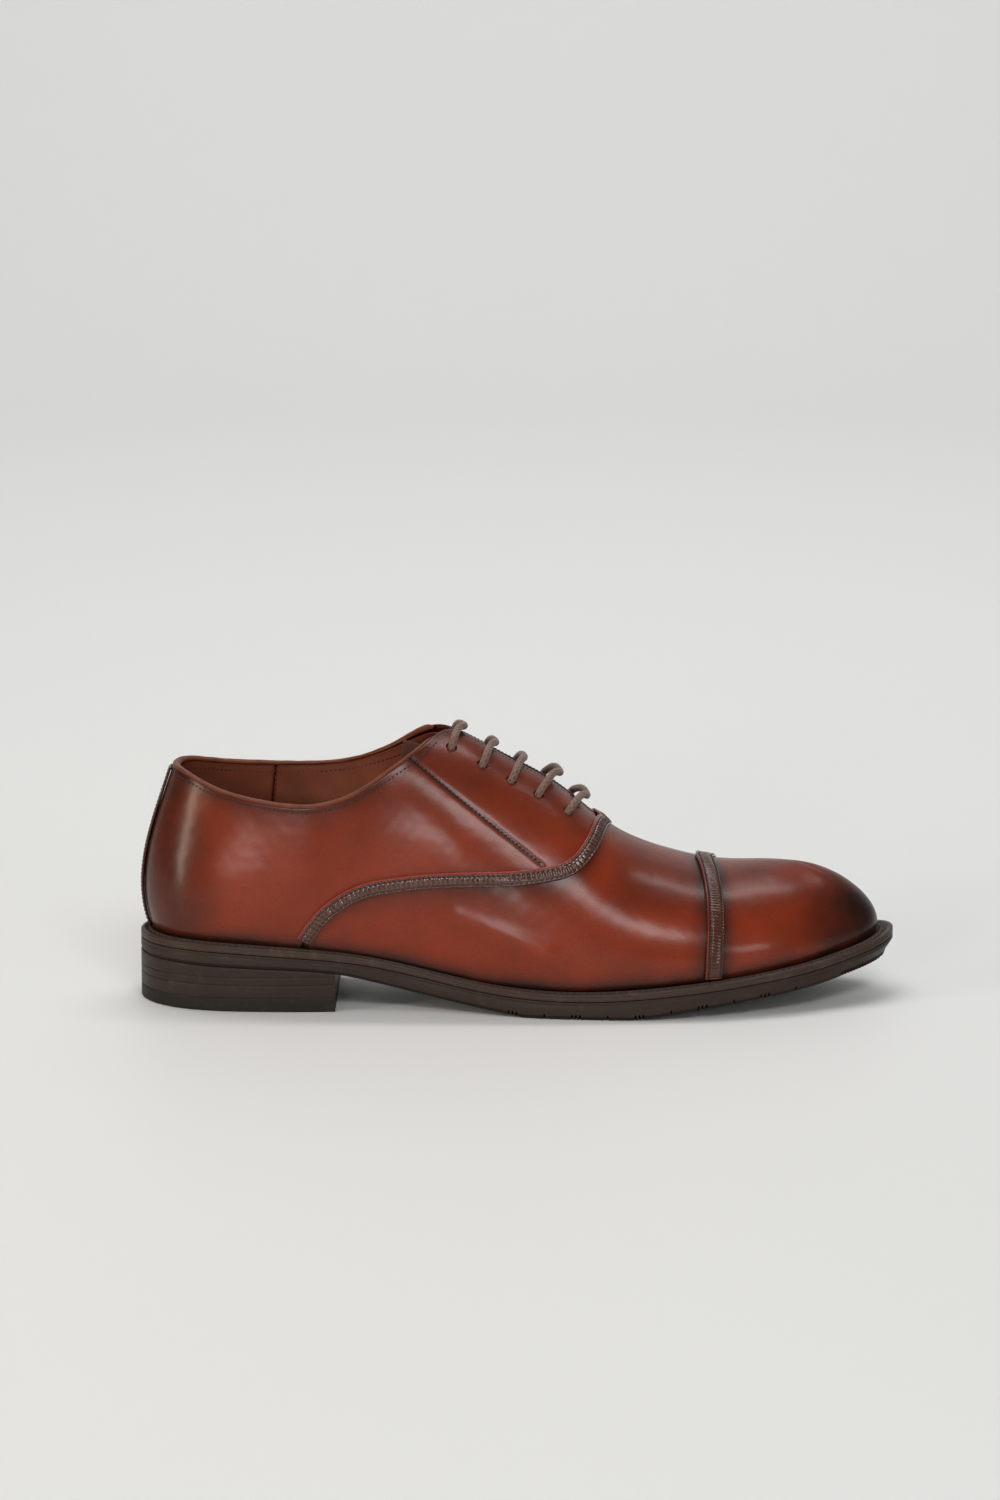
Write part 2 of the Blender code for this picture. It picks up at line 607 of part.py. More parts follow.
def quarter(side):
    s = np.linspace(0, 1, 201)
    curve_w, curve_t = (c(s) for c in SEAMS[side])
    shares = [0.0, 0.03, 0.07, 0.12, 0.18, 0.26, 0.35, 0.44, 0.53, 0.62, 0.70, 0.78, 0.84, 0.89, 0.935]
    picks = np.interp(shares, s, np.abs(curve_w))
    behind = BACK_GAP_W + (picks[0] - SEAM_SHIFT_W - BACK_GAP_W) * np.linspace(0, 1, 11) ** 1.25
    ws = side * np.concatenate([behind, picks[1:]])
    low = np.where(np.abs(ws) > behind[-1] + 1e-6, seam_t(ws, side, SEAM_SHIFT_W, SEAM_SHIFT_T), 0.0)
    return rising(columns(ws, low, facing_edge(ws), 9, UPPER_DEPTH), side)


def vamp_patches(side, depth):
    s = np.array([0.04, 0.08, 0.13, 0.19, 0.27, 0.36, 0.45, 0.54, 0.63, 0.71, 0.79, 0.85, 0.90, 0.94, 0.97])
    curve_w, _ = SEAMS[side]
    throat = float(np.abs(find_w(THROAT_X + 0.4, 1.0, side)))
    ws = side * np.append(np.abs(curve_w(s)), throat)
    high = np.append(seam_t(ws[:-1], side, -SEAM_SHIFT_W, -SEAM_SHIFT_T), 1.0)
    rear = columns(ws, 0.0, high, 9, depth)
    t_rows = np.linspace(0, 1, 9)
    start, end = np.full(9, side * throat), find_w(cap_line(t_rows) - 0.25, t_rows, side)
    front = across_seam(start, end, t_rows, 7, depth)
    return [rising(rear, side), rising(front, side)]


def toe_patch(side, clearance, t_low, steps, rows, depth):
    t_rows = np.linspace(t_low, 1, rows)
    start = find_w(cap_line(t_rows) + clearance, t_rows, side)
    return rising(across_seam(start, np.full(rows, float(side)), t_rows, steps, depth, TOE_CROWD), side)


def strip_along(points, normals, half, rise):
    """A flat strip of points along a curve on the surface, half its width each side."""
    along = np.gradient(points, axis=0)
    across = np.cross(normals, along)
    across /= np.linalg.norm(across, axis=1, keepdims=True)
    lanes = np.linspace(-half, half, 3)[None, :, None]
    return (points + rise * normals)[:, None, :] + lanes * across[:, None, :]


def throat_band():
    s = np.linspace(0.022, 1, 25)
    parts = []
    for side in (1, -1):
        curve_w, curve_t = SEAMS[side]
        w, t = curve_w(s), np.clip(curve_t(s), 0, 1)
        parts.append((skin(w, t), normal(w, t)))
    points = np.concatenate([parts[0][0], parts[1][0][-2::-1]])
    normals = np.concatenate([parts[0][1], parts[1][1][-2::-1]])
    return strip_along(points, normals, BAND_HALF, TRIM_DEPTH)


def cap_trim():
    t = np.linspace(0.02, 1, 13)
    outer, inner = (find_w(cap_line(t), t, side) for side in (1, -1))
    points = np.concatenate([skin(outer, t), skin(inner, t)[-2::-1]])
    normals = np.concatenate([normal(outer, t), normal(inner, t)[-2::-1]])
    return strip_along(points, normals, TRIM_HALF, TRIM_DEPTH)


def build_outside():
    for side, name in ((1, "quarter_lateral"), (-1, "quarter_medial")):
        cut(sheet(name, [quarter(side)], UPPER_THICK, UPPER_LEATHER), EYELET_HOLES[side])
    sheet("vamp", vamp_patches(1, UPPER_DEPTH) + vamp_patches(-1, UPPER_DEPTH), UPPER_THICK, UPPER_LEATHER)
    sheet("toe_cap", [toe_patch(side, 0.25, 0.0, 10, 9, UPPER_DEPTH) for side in (1, -1)], UPPER_THICK,
          UPPER_LEATHER)
    sheet("throat_band", [throat_band()[:, ::-1]], TRIM_THICK, TRIM_LEATHER)
    sheet("toe_cap_trim", [cap_trim()[:, ::-1]], TRIM_THICK, TRIM_LEATHER)
    ws = np.linspace(-BACK_STRIP_HALF_W, BACK_STRIP_HALF_W, 5)
    sheet("back_strip", [columns(ws, 0.015, 0.985, 7, TRIM_DEPTH)], TRIM_THICK, TRIM_LEATHER)


def build_topline_binding():
    """A rolled edge over the top of the quarters and their linings, from facing to facing."""
    end = PLACES[FACING_TOP] - 0.030
    ws = np.linspace(-end, end, 33)
    top = base(ws, np.ones_like(ws))
    out = side_normal(ws, np.ones_like(ws))
    up = top - base(ws, np.full_like(ws, 0.98))
    up /= np.linalg.norm(up, axis=1, keepdims=True)
    turns = np.linspace(0, 2 * math.pi, 6, endpoint=False)
    rings = [top + (-1.35 + 1.75 * math.cos(a)) * out + (GAP + 0.75 + 0.75 * math.sin(a)) * up for a in turns]
    points = np.stack(rings, 1)
    n = len(turns)
    faces = [(i * n + k, i * n + (k + 1) % n, (i + 1) * n + (k + 1) % n, (i + 1) * n + k)
             for i in range(len(ws) - 1) for k in range(n)]
    faces += [tuple(range(n)), tuple((len(ws) - 1) * n + k for k in range(n))]
    mesh = mesh_of("topline_binding", points.reshape(-1, 3).tolist(), faces, closed=True)
    add_object("topline_binding", mesh, BINDING_LEATHER)


def build_inside():
    for side, name in ((1, "lateral"), (-1, "medial")):
        start = float(np.abs(find_w(GRIP_X + 0.3, 0.5, side)))
        s_rows = np.linspace(0, 1, 9)
        steps = np.linspace(0, 1, 17)[:, None]
        seam = np.abs(find_w(lining_seam(s_rows) - LINING_SEAM_GAP, s_rows, side))[None, :]
        w = side * (start + (seam - start) * steps)
        t = s_rows[None, :] * (facing_edge(w) - 0.006)
        lining = sheet(f"quarter_lining_{name}", [rising(skin(w, t, lining_depth(w, t)), side)], LINING_THICK,
                       LINING_LEATHER)
        cut(lining, EYELET_HOLES[side])
        stay_w = side * (PLACES[FACING_TOP] + np.linspace(*STAY_W, 13))
        stay = sheet(f"facing_stay_{name}", [rising(columns(stay_w, *STAY_T, 5, STAY_DEPTH), side)],
                     STAY_THICK, STIFFENER_CLOTH)
        cut(stay, EYELET_HOLES[side])
    patches = []
    t_rows = np.linspace(0, 1, 9)
    for side in (1, -1):
        start = find_w(lining_seam(t_rows) + LINING_SEAM_GAP, t_rows, side)
        end = np.full(9, float(side))
        patches.append(rising(across_seam(start, end, t_rows, 15, LINING_DEPTH, TOE_CROWD), side))
    sheet("vamp_lining", patches, LINING_THICK, LINING_LEATHER)
    grip = float(np.abs(find_w(GRIP_X - 0.3, 0.5, 1)))
    sheet("heel_grip", [columns(np.linspace(-grip, grip, 21), 0.0, 0.994, 7, lining_depth)], LINING_THICK,
          LINING_LEATHER)
    counter = float(np.abs(find_w(COUNTER_FRONT_X, 0.3, 1)))
    counter_w = np.linspace(-counter, counter, 21)
    counter_top = 0.30 + 0.34 * np.cos(counter_w / counter * math.pi / 2) ** 0.6
    sheet("heel_counter", [columns(counter_w, 0.0, counter_top, 6, COUNTER_DEPTH)], STIFFENER_THICK,
          COUNTER_BOARD)
    sheet("toe_puff", [toe_patch(side, 3.0, 0.0, 9, 9, STIFFENER_DEPTH) for side in (1, -1)],
          PUFF_THICK, STIFFENER_CLOTH)


# ---------------------------------------------------------------- tongue

def build_tongue():
    spine, arch, half = (natural_spline(p) for p in (TONGUE_SPINE, TONGUE_ARCH, TONGUE_HALF))
    x = np.linspace(-46, 31, 11)[:, None]
    y = np.linspace(-1, 1, 9)[None, :] * half(x)
    layers = (("tongue", 0.0, TONGUE_THICK, UPPER_LEATHER),
              ("tongue_lining", -TONGUE_THICK - 0.4, TONGUE_LINING_THICK, LINING_LEATHER))
    for name, depth, thick, finish in layers:
        z = spine(x) - arch(x) * y ** 2
        slope_x = (spine(x + 0.5) - spine(x - 0.5))
        slope_y = -2 * arch(x) * y
        up = np.stack([-slope_x + 0 * y, -slope_y, np.ones_like(z)], -1)
        up /= np.linalg.norm(up, axis=-1, keepdims=True)
        points = np.stack([x + 0 * y, y, z], -1) + depth * up
        sheet(name, [points], thick, finish)


# ---------------------------------------------------------------- eyelets and lace

def eyelet_places(side):
    w, t = locate(EYELET_X, EYELET_Y, 1, side)
    return list(zip(w.tolist(), t.tolist()))


EYELETS = {side: eyelet_places(side) for side in (1, -1)}


def hole_cutter(side):
    ends = [(skin(w, t, -8.0).tolist(), skin(w, t, 4.0).tolist()) for w, t in EYELETS[side]]
    return cutter(f"eyelet_holes_{side}", ends, EYELET_HOLE_R, 10)


EYELET_HOLES = {side: hole_cutter(side) for side in (1, -1)}


def build_eyelets():
    for side, name in ((1, "lateral"), (-1, "medial")):
        for row, (w, t) in enumerate(EYELETS[side], 1):
            bpy.ops.mesh.primitive_torus_add(major_radius=EYELET_RING_R * MM, minor_radius=EYELET_WIRE_R * MM,
                                             major_segments=10, minor_segments=4)
            ring = bpy.context.object
            ring.name = f"eyelet_{name}_{row}"
            ring.location = Vector(skin(w, t, EYELET_DEPTHS[row - 1])) * MM
            ring.rotation_euler = Vector(normal(np.array(w), np.array(t))).to_track_quat("Z", "Y").to_euler()
            ring.data.materials.append(material(ring.name, *EYELET_BRASS))
            for collection in list(ring.users_collection):
                collection.objects.unlink(ring)
            SHOE.objects.link(ring)


def bar_points(row, first_side):
    """Out of one eyelet, over the ridge and down into the opposite eyelet."""
    points, tops = [], []
    for side, order in ((first_side, 1), (-first_side, -1)):
        w, t = EYELETS[side][row]
        top_w = float(find_w(EYELET_X[row] + LACE_LEAN[row], 1.0, side))
        tops.append(skin(top_w, 1.0, LACE_OVER[row]))
        over = LACE_OVER[row]
        loose = over - LACE_TIGHT
        climb = [(0, LACE_INNER_DEPTH), (0, -4.0), (0, 0.6), (0.10, LACE_TIGHT),
                 (0.38, LACE_TIGHT + 0.3 + 0.6 * loose), (0.74, LACE_TIGHT + 0.3 + 1.1 * loose)]
        half = [skin(w + (top_w - w) * share, t + (1 - t) * share, depth) for share, depth in climb]
        points.append(half if order == 1 else half[::-1])
    peak = (tops[0] + tops[1]) / 2
    return points[0] + [peak] + points[1]


def tail_points(side, row):
    """The spare lace of one side, folded in three flat runs between the lining and the tongue."""
    w0, t0 = EYELETS[side][row]
    points = [skin(w0, t0, LACE_INNER_DEPTH)]
    forward = row == 0
    for run, t in enumerate(TAIL_RUNS_T):
        xs = np.linspace(TAIL_BACK_X, TAIL_FRONT_X, 6)
        if (run % 2 == 0) != forward:
            xs = xs[::-1]
        if run == 0:
            xs = xs[1:]
        if run == len(TAIL_RUNS_T) - 1:
            xs = xs[0] + (xs - xs[0]) * (1 - TAIL_LAST_SHORTER / (TAIL_FRONT_X - TAIL_BACK_X))
            t = t - TAIL_LAST_DIP * np.linspace(0, 1, len(xs)) ** 2
        points += list(skin(find_w(xs, t, side), t, LACE_INNER_DEPTH))
    return points


def smooth_path(points, spacing):
    """Evenly spaced points on a smooth curve through the route's points."""
    points = np.array(points)
    s = np.append(0, np.cumsum(np.linalg.norm(np.diff(points, axis=0), axis=1)))
    curves = [natural_spline(list(zip(s, points[:, k]))) for k in range(3)]
    at = np.linspace(0, s[-1], int(round(s[-1] / spacing)) + 1)
    return np.stack([c(at) for c in curves], 1)


def thin_path(points, most_gap, most_turn):
    """The path with points left out where it runs nearly straight."""
    kept = [0]
    for i in range(1, len(points) - 1):
        back = points[i] - points[kept[-1]]
        ahead = points[i + 1] - points[i]
        turn = math.acos(np.clip(back @ ahead / np.linalg.norm(back) / np.linalg.norm(ahead), -1, 1))
        if turn > most_turn or np.linalg.norm(back) > most_gap:
            kept.append(i)
    return points[kept + [len(points) - 1]]


def build_lace():
    route = tail_points(1, 0)[::-1][:-1]
    side = 1
    for row in range(len(EYELET_X)):
        route += bar_points(row, side)
        side = -side
        if row < len(EYELET_X) - 1:
            (w0, t0), (w1, t1) = EYELETS[side][row], EYELETS[side][row + 1]
            route.append(skin((w0 + w1) / 2, (t0 + t1) / 2, LACE_INNER_DEPTH - 0.3))
    route += tail_points(side, len(EYELET_X) - 1)[1:]
    path = thin_path(smooth_path(route, 1.5), 9.0, math.radians(21))
    data = bpy.data.curves.new("lace", "CURVE")
    data.dimensions = "3D"
    data.bevel_depth = LACE_R * MM
    data.bevel_resolution = 1
    data.use_fill_caps = True
    spline = data.splines.new("POLY")
    spline.points.add(len(path) - 1)
    for point, place in zip(spline.points, path):
        point.co = (*(place * MM), 1.0)
    lace = bpy.data.objects.new("lace", data)
    SHOE.objects.link(lace)
    data.materials.append(material("lace", *LACE_CORD))
    for i, (end, before) in enumerate(((path[0], path[1]), (path[-1], path[-2])), 1):
        away = (end - before) / np.linalg.norm(end - before)
        low = end + away * GAP
        high = low + away * AGLET_LENGTH
        add_object(f"aglet_{i}", rods("aglet", [(low.tolist(), high.tolist())], AGLET_R, 10), AGLET_PLASTIC)
    print(f"lace {np.linalg.norm(np.diff(path, axis=0), axis=1).sum():.0f} mm in {len(path)} points")


# ---------------------------------------------------------------- moving groups

def hang_on_axis(name, place, members):
    """An empty on the joint's axis that carries the moving pieces."""
    axis = bpy.data.objects.new(name, None)
    SHOE.objects.link(axis)
    axis.location = Vector(place) * MM
    bpy.context.view_layer.update()
    for member in members:
        obj = bpy.data.objects[member]
        obj.parent = axis
        obj.matrix_parent_inverse = axis.matrix_world.inverted()


build_sole()
build_heel()
build_outside()
build_topline_binding()
build_inside()
build_tongue()
build_eyelets()
build_lace()
hang_on_axis("ball_flex_axis", BALL_HINGE, ["toe_cap", "toe_cap_trim", "toe_puff"])
hang_on_axis("tongue_axis", TONGUE_HINGE, ["tongue", "tongue_lining"])
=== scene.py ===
"""Looks of the leather oxford shoe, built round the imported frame: burnished upper, sewn strips,
linings, welt, moulded sole, stacked heel and laced front.

Lengths are millimetres until a mesh is made, in the frame of the CAD: +X to the toe, +Y to the
inner side, +Z up. The upper repeats the CAD's surface, skin(w, t, depth): w runs round the shoe
from the heel (0) to the toe (+1 on the outer side, -1 on the inner side), t runs up it, and depth
is measured along the outward normal.
"""

import math

import bmesh
import bpy
import numpy as np
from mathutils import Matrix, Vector


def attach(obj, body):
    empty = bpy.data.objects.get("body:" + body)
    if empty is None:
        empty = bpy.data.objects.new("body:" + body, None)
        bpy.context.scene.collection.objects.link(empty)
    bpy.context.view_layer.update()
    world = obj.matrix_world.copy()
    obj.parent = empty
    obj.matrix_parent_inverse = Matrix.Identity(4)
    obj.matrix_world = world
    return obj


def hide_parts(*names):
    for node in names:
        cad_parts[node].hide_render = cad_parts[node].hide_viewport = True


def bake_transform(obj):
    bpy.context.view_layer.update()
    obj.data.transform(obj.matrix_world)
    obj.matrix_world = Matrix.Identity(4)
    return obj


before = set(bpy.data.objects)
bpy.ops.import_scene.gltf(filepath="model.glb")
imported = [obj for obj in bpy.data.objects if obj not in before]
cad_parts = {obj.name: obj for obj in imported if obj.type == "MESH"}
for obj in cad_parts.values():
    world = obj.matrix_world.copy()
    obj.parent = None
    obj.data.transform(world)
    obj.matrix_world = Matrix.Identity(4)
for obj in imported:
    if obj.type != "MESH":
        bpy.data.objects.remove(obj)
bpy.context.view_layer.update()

MM = 0.001

# ---------------------------------------------------------------- the CAD's design numbers

# Sections of the last, from heel to toe:
# feather x, outer y, inner y | top x, outer y, inner y, outer z, inner z |
# outward lean at the welt, lower handle, drop at the top, upper handle (angles in degrees, handles in chords)
SECTIONS = [
    (-147.4, 0.0, 0.0, -138.7, 0.0, 0.0, 94.5, 94.5, 22, 0.36, 72, 0.34),
    (-142.3, 15.2, 15.2, -135.0, 11.5, 11.5, 93.6, 94.6, 20, 0.36, 76, 0.34),
    (-129.1, 25.4, 25.4, -122.5, 20.8, 21.0, 88.4, 92.0, 16, 0.36, 78, 0.34),
    (-106.8, 30.0, 29.5, -103.7, 27.0, 28.0, 83.9, 89.6, 12, 0.36, 82, 0.34),
    (-83.4, 31.0, 29.0, -83.4, 30.5, 32.0, 82.4, 88.3, 10, 0.36, 82, 0.34),
    (-61.0, 30.9, 26.4, -65.1, 29.7, 30.5, 87.2, 90.6, 10, 0.36, 72, 0.34),
    (-40.7, 31.9, 25.4, -49.8, 25.5, 24.5, 97.2, 98.0, 10, 0.38, 52, 0.34),
    (-22.4, 35.0, 27.0, -37.6, 17.0, 16.0, 105.4, 106.6, 10, 0.40, 33, 0.34),
    (-7.1, 38.8, 30.0, -26.4, 2.0, 2.0, 109.3, 109.3, 11, 0.42, 10, 0.30),
    (10.2, 42.7, 34.1, -7.1, 0.0, 0.0, 99.5, 99.5, 12, 0.42, 3, 0.27),
    (30.5, 44.9, 39.6, 15.2, 0.0, 0.0, 87.0, 87.0, 13, 0.42, 0, 0.28),
    (50.8, 45.8, 44.2, 38.6, -0.5, 0.5, 68.6, 68.6, 14, 0.42, 0, 0.32),
    (71.2, 44.0, 45.6, 61.0, -1.0, 1.0, 58.8, 58.8, 15, 0.40, 0, 0.37),
    (93.5, 38.3, 42.2, 82.3, -1.8, 1.8, 54.5, 54.5, 15, 0.38, 0, 0.38),
    (113.9, 29.3, 35.4, 97.6, -2.6, 2.6, 54.4, 54.4, 15, 0.34, 0, 0.38),
    (132.2, 16.6, 24.6, 106.8, -3.0, 3.0, 54.2, 54.2, 14, 0.31, 0, 0.36),
    (142.6, 7.4, 15.4, 111.0, -3.2, 3.2, 54.0, 54.0, 13, 0.30, 0, 0.35),
    (146.0, -4.0, 4.0, 112.0, -3.2, 3.2, 53.9, 53.9, 13, 0.30, 0, 0.35),
]
FACING_TOP = 8  # the section where the two facings meet at the ankle
RIDGE_BEHIND = [(-90.0, 146.0), (-60.0, 129.0)]  # the ridge line carried on, to keep its slope smooth

# Heights along the shoe (x, z)
WELT_TOP = [(-152.5, 27.6), (-122, 27.0), (-91.5, 25.2), (-66.1, 22.6), (-40.7, 17.6), (-15.2, 12.6),
            (10.2, 10.4), (35.6, 10.6), (55.9, 12.2), (81.3, 14.6), (106.8, 17.6), (132.2, 21.8),
            (152.5, 27.5)]
OUTSOLE_BOTTOM = [(-152.5, 19.2), (-100, 17.2), (-71, 14.8), (-49.5, 9.8), (-28, 5.0), (-6, 1.2), (6, -0.3),
                  (24, -0.6), (42, -0.2), (56, 1.4), (70, 3.4), (96, 6.8), (117, 9.6), (131, 11.8),
                  (152.5, 16.0)]
# How far the sole edge stands out from the feather line (x, mm)
SOLE_MARGIN = [(-152.5, 5.1), (-120, 4.8), (-85, 4.0), (-45, 2.8), (-10, 3.4), (40, 4.3), (90, 4.5),
               (125, 5.2), (146, 6.5)]

GAP = 0.3  # between pieces that touch
WELT_THICK = 3.0
WELT_INNER = -5.0  # from the feather line to the welt's inner edge
INSOLE_INSET = -5.7
INSOLE_THICK = 2.4
SOCK_THICK = 1.0
CORK_BACK_X = -18.0
HEEL_BREAST_X = -73.0
HEEL_LAYER_TOPS = (5.2, 10.4, 13.6)  # top piece and two lifts; a wedge lift fills up to the outsole

# Depths of the layers of the upper, outer face and thickness
TRIM_DEPTH, TRIM_THICK = 1.4, 1.0
UPPER_DEPTH, UPPER_THICK = 0.0, 1.4
LINING_DEPTH, LINING_THICK = -3.4, 0.9
LACE_INNER_DEPTH = -7.7

# Seam between the vamp and the quarters, on both sides, from the sole up to the throat (x, z), and the throat
SEAM = [(-86.8, 25.4), (-83.2, 31.4), (-78.2, 38.0), (-71.2, 43.8), (-61.4, 48.8), (-50.4, 51.2),
        (-36.2, 53.3), (-15.7, 54.6), (1.8, 55.4), (11.0, 56.6), (19.6, 58.4), (26.0, 62.4),
        (31.0, 68.2), (33.4, 71.2)]
THROAT_X = 35.6
SEAM_STEPS = 33  # points read from the seam's smooth curve
SEAM_SHIFT_W, SEAM_SHIFT_T = 0.0012, 0.004  # half the gap at the seam, along w and t
BAND_HALF = 2.6
CAP_LINE = [(0.0, 77.7), (0.5, 78.7), (1.0, 75.3)]  # t, x of the cap seam
TRIM_HALF = 3.5
LINING_SEAM = [(0.0, -8.0), (0.5, 6.0), (0.75, 26.5), (1.0, 37.5)]  # t, x where the linings meet
LINING_SEAM_GAP = 1.3
GRIP_X = -101.0
BACK_GAP_W = 0.0012
BACK_STRIP_HALF_W = 0.0125
FACING_EDGE_T = 0.984

# Lacing
EYELET_X = (-26.4, -14.0, -2.5, 8.5, 20.3)
EYELET_Y = (13.7, 16.4, 17.0, 17.5, 18.0)
EYELET_HOLE_R = 2.1
LACE_R = 1.45
LACE_TIGHT = 2.3  # height of a tight bar's centre over the leather
LACE_OVER = (2.3, 2.4, 2.5, 4.4, 3.7)  # height of each bar's centre over the ridge; the last two are loose
LACE_LEAN = (4.1, 4.1, 4.1, 6.2, 5.4)  # how far towards the toe each bar leans on its way over
TAIL_RUNS_T = (0.700, 0.647, 0.594)
TAIL_BACK_X, TAIL_FRONT_X = -20.0, 27.0
TAIL_LAST_DIP = 0.03  # the last run drifts away from the others by this much in t
TAIL_LAST_SHORTER = 19.0  # the last run stops short, to leave room for the aglet

# Tongue: spine of its upper face (x, z) and how sharply it arches (x, z drop per y squared)
TONGUE_SPINE = [(-46, 104.2), (-36, 101.6), (-25, 96.8), (-15, 91.1), (-4.6, 85.2), (5, 79.8),
                (14, 73.9), (20, 70.2), (26, 67.6), (31, 66.4)]
TONGUE_ARCH = [(-46, 0.051), (-25, 0.068), (-4, 0.055), (5, 0.045), (14, 0.034), (24, 0.026),
               (31, 0.022)]
TONGUE_BACK_X, TONGUE_LENGTH = -46, 77
TONGUE_HALF = [(-46, 18.5), (-36, 20.0), (-10, 18.5), (10, 14.5), (31, 10.0)]
TONGUE_THICK, TONGUE_LINING_THICK = 1.2, 0.8


# ---------------------------------------------------------------- curves and the surface of the upper

def unit(vectors):
    return vectors / np.linalg.norm(vectors, axis=-1, keepdims=True)


def length_along(path):
    """Distance from the start of a path to each of its points."""
    return np.append(0, np.cumsum(np.linalg.norm(np.diff(path, axis=0), axis=1)))


def read_along(at, length, values):
    """Rows of values read at these distances along a path."""
    return np.stack([np.interp(at, length, column) for column in values.T], 1)


def natural_spline(points):
    """A smooth curve y(x) through the points."""
    xs, ys = (np.array(v, float) for v in zip(*points))
    n = len(xs)
    h = np.diff(xs)
    rows = np.eye(n)
    right = np.zeros(n)
    for i in range(1, n - 1):
        rows[i, i - 1:i + 2] = h[i - 1], 2 * (h[i - 1] + h[i]), h[i]
        right[i] = 6 * ((ys[i + 1] - ys[i]) / h[i] - (ys[i] - ys[i - 1]) / h[i - 1])
    bend = np.linalg.solve(rows, right)

    def curve(x):
        x = np.clip(x, xs[0], xs[-1])
        i = np.clip(np.searchsorted(xs, x, side="right") - 1, 0, n - 2)
        after, before, width = x - xs[i], xs[i + 1] - x, h[i]
        cubic = (bend[i] * before ** 3 + bend[i + 1] * after ** 3) / (6 * width)
        line = (ys[i] / width - bend[i] * width / 6) * before
        return cubic + line + (ys[i + 1] / width - bend[i + 1] * width / 6) * after

    return curve


def closed_spline(knots, values, period):
    """A smooth closed curve through rows of values, repeating after the period."""
    knots, values = np.asarray(knots, float), np.asarray(values, float)
    n = len(knots)
    h = np.diff(np.append(knots, knots[0] + period))
    before_h = np.roll(h, 1)
    following, previous = np.roll(values, -1, 0), np.roll(values, 1, 0)
    rows = np.zeros((n, n))
    for i in range(n):
        rows[i, (i - 1) % n] += before_h[i]
        rows[i, i] += 2 * (before_h[i] + h[i])
        rows[i, (i + 1) % n] += h[i]
    right = 6 * ((following - values) / h[:, None] - (values - previous) / before_h[:, None])
    bend = np.linalg.solve(rows, right)

    def curve(w):
        w = np.mod(np.asarray(w, float) - knots[0], period) + knots[0]
        i = np.clip(np.searchsorted(knots, w, side="right") - 1, 0, n - 1)
        j = (i + 1) % n
        width = h[i][..., None]
        after = (w - knots[i])[..., None]
        before = width - after
        cubic = (bend[i] * before ** 3 + bend[j] * after ** 3) / (6 * width)
        line = (values[i] / width - bend[i] * width / 6) * before
        return cubic + line + (values[j] / width - bend[j] * width / 6) * after

    return curve


def side_rows(outer):
    """The sections of one side as rows: feather x, y, top x, y, z and the four shape numbers."""
    sign, y0, y1, z = (-1, 1, 4, 6) if outer else (1, 2, 5, 7)
    return [np.array([r[0], sign * r[y0], r[3], sign * r[y1], r[z], *r[8:]]) for r in SECTIONS]


def section_places(outer, inner):
    """How far round the shoe each section stands, from 0 at the heel to 1 at the toe."""
    places = [0.0]
    for i in range(1, len(outer)):
        feather = sum(math.dist(s[i - 1][:2], s[i][:2]) for s in (outer, inner)) / 2
        top = sum(math.dist(s[i - 1][2:5], s[i][2:5]) for s in (outer, inner)) / 2
        places.append(places[-1] + feather + 0.6 * top)
    return np.array(places) / places[-1]


OUTER_ROWS, INNER_ROWS = side_rows(True), side_rows(False)
PLACES = section_places(OUTER_ROWS, INNER_ROWS)
last_loop = closed_spline(list(PLACES) + [2 - p for p in PLACES[-2:0:-1]],
                          OUTER_ROWS + INNER_ROWS[-2:0:-1], 2.0)
welt_top = natural_spline(WELT_TOP)
outsole_curve = natural_spline(OUTSOLE_BOTTOM)
sole_margin = natural_spline(SOLE_MARGIN)
ridge = natural_spline(RIDGE_BEHIND + [(r[3], r[6]) for r in SECTIONS[FACING_TOP:]])
cap_line = natural_spline(CAP_LINE)
lining_seam = natural_spline(LINING_SEAM)


def smooth(x):
    x = np.clip(x, 0, 1)
    return x * x * (3 - 2 * x)


def plan_out(w):
    """Outward direction of the feather line, seen from above."""
    step = last_loop(w + 1e-3) - last_loop(w - 1e-3)
    along = unit(step[..., :2])
    return np.stack([along[..., 1], -along[..., 0]], -1)


def base(w, t):
    """The surface itself: a cubic arch from the feather line to the top in each section."""
    w, t = np.broadcast_arrays(np.asarray(w, float), np.asarray(t, float))
    x0, y0, x1, y1, z1, lean, low, drop, high = np.moveaxis(last_loop(w), -1, 0)
    start = np.stack([x0, y0, welt_top(x0) + GAP], -1)
    end = np.stack([x1, y1, z1], -1)
    up = np.array([0.0, 0.0, 1.0])
    chord = np.linalg.norm(end - start, axis=-1)[..., None]
    lean, drop = np.radians(lean)[..., None], np.radians(drop)[..., None]
    out = np.concatenate([plan_out(w), np.zeros(w.shape + (1,))], -1)
    rise = low[..., None] * chord * (np.sin(lean) * out + np.cos(lean) * up)
    across = unit((start - end) * np.array([1.0, 1.0, 0.0]))
    ridge_start, ridge_end = PLACES[FACING_TOP - 3], PLACES[FACING_TOP + 1]
    on_ridge = (np.abs(np.mod(w + 1, 2) - 1) - ridge_start) / (ridge_end - ridge_start)
    slope = (ridge(x1 + 1) - ridge(x1 - 1)) / 2 * smooth(on_ridge)
    fall = across * np.cos(drop) + (slope[..., None] * across[..., :1] - np.sin(drop)) * up
    t = t[..., None]
    return (1 - t) ** 3 * start + 3 * (1 - t) ** 2 * t * (start + rise) \
        + 3 * (1 - t) * t ** 2 * (end + high[..., None] * chord * fall) + t ** 3 * end


def side_normal(w, t):
    e = 1e-4
    t = np.clip(t, 0.0, 0.985)
    return unit(np.cross(base(w + e, t) - base(w - e, t), base(w, t + e) - base(w, t - e)))


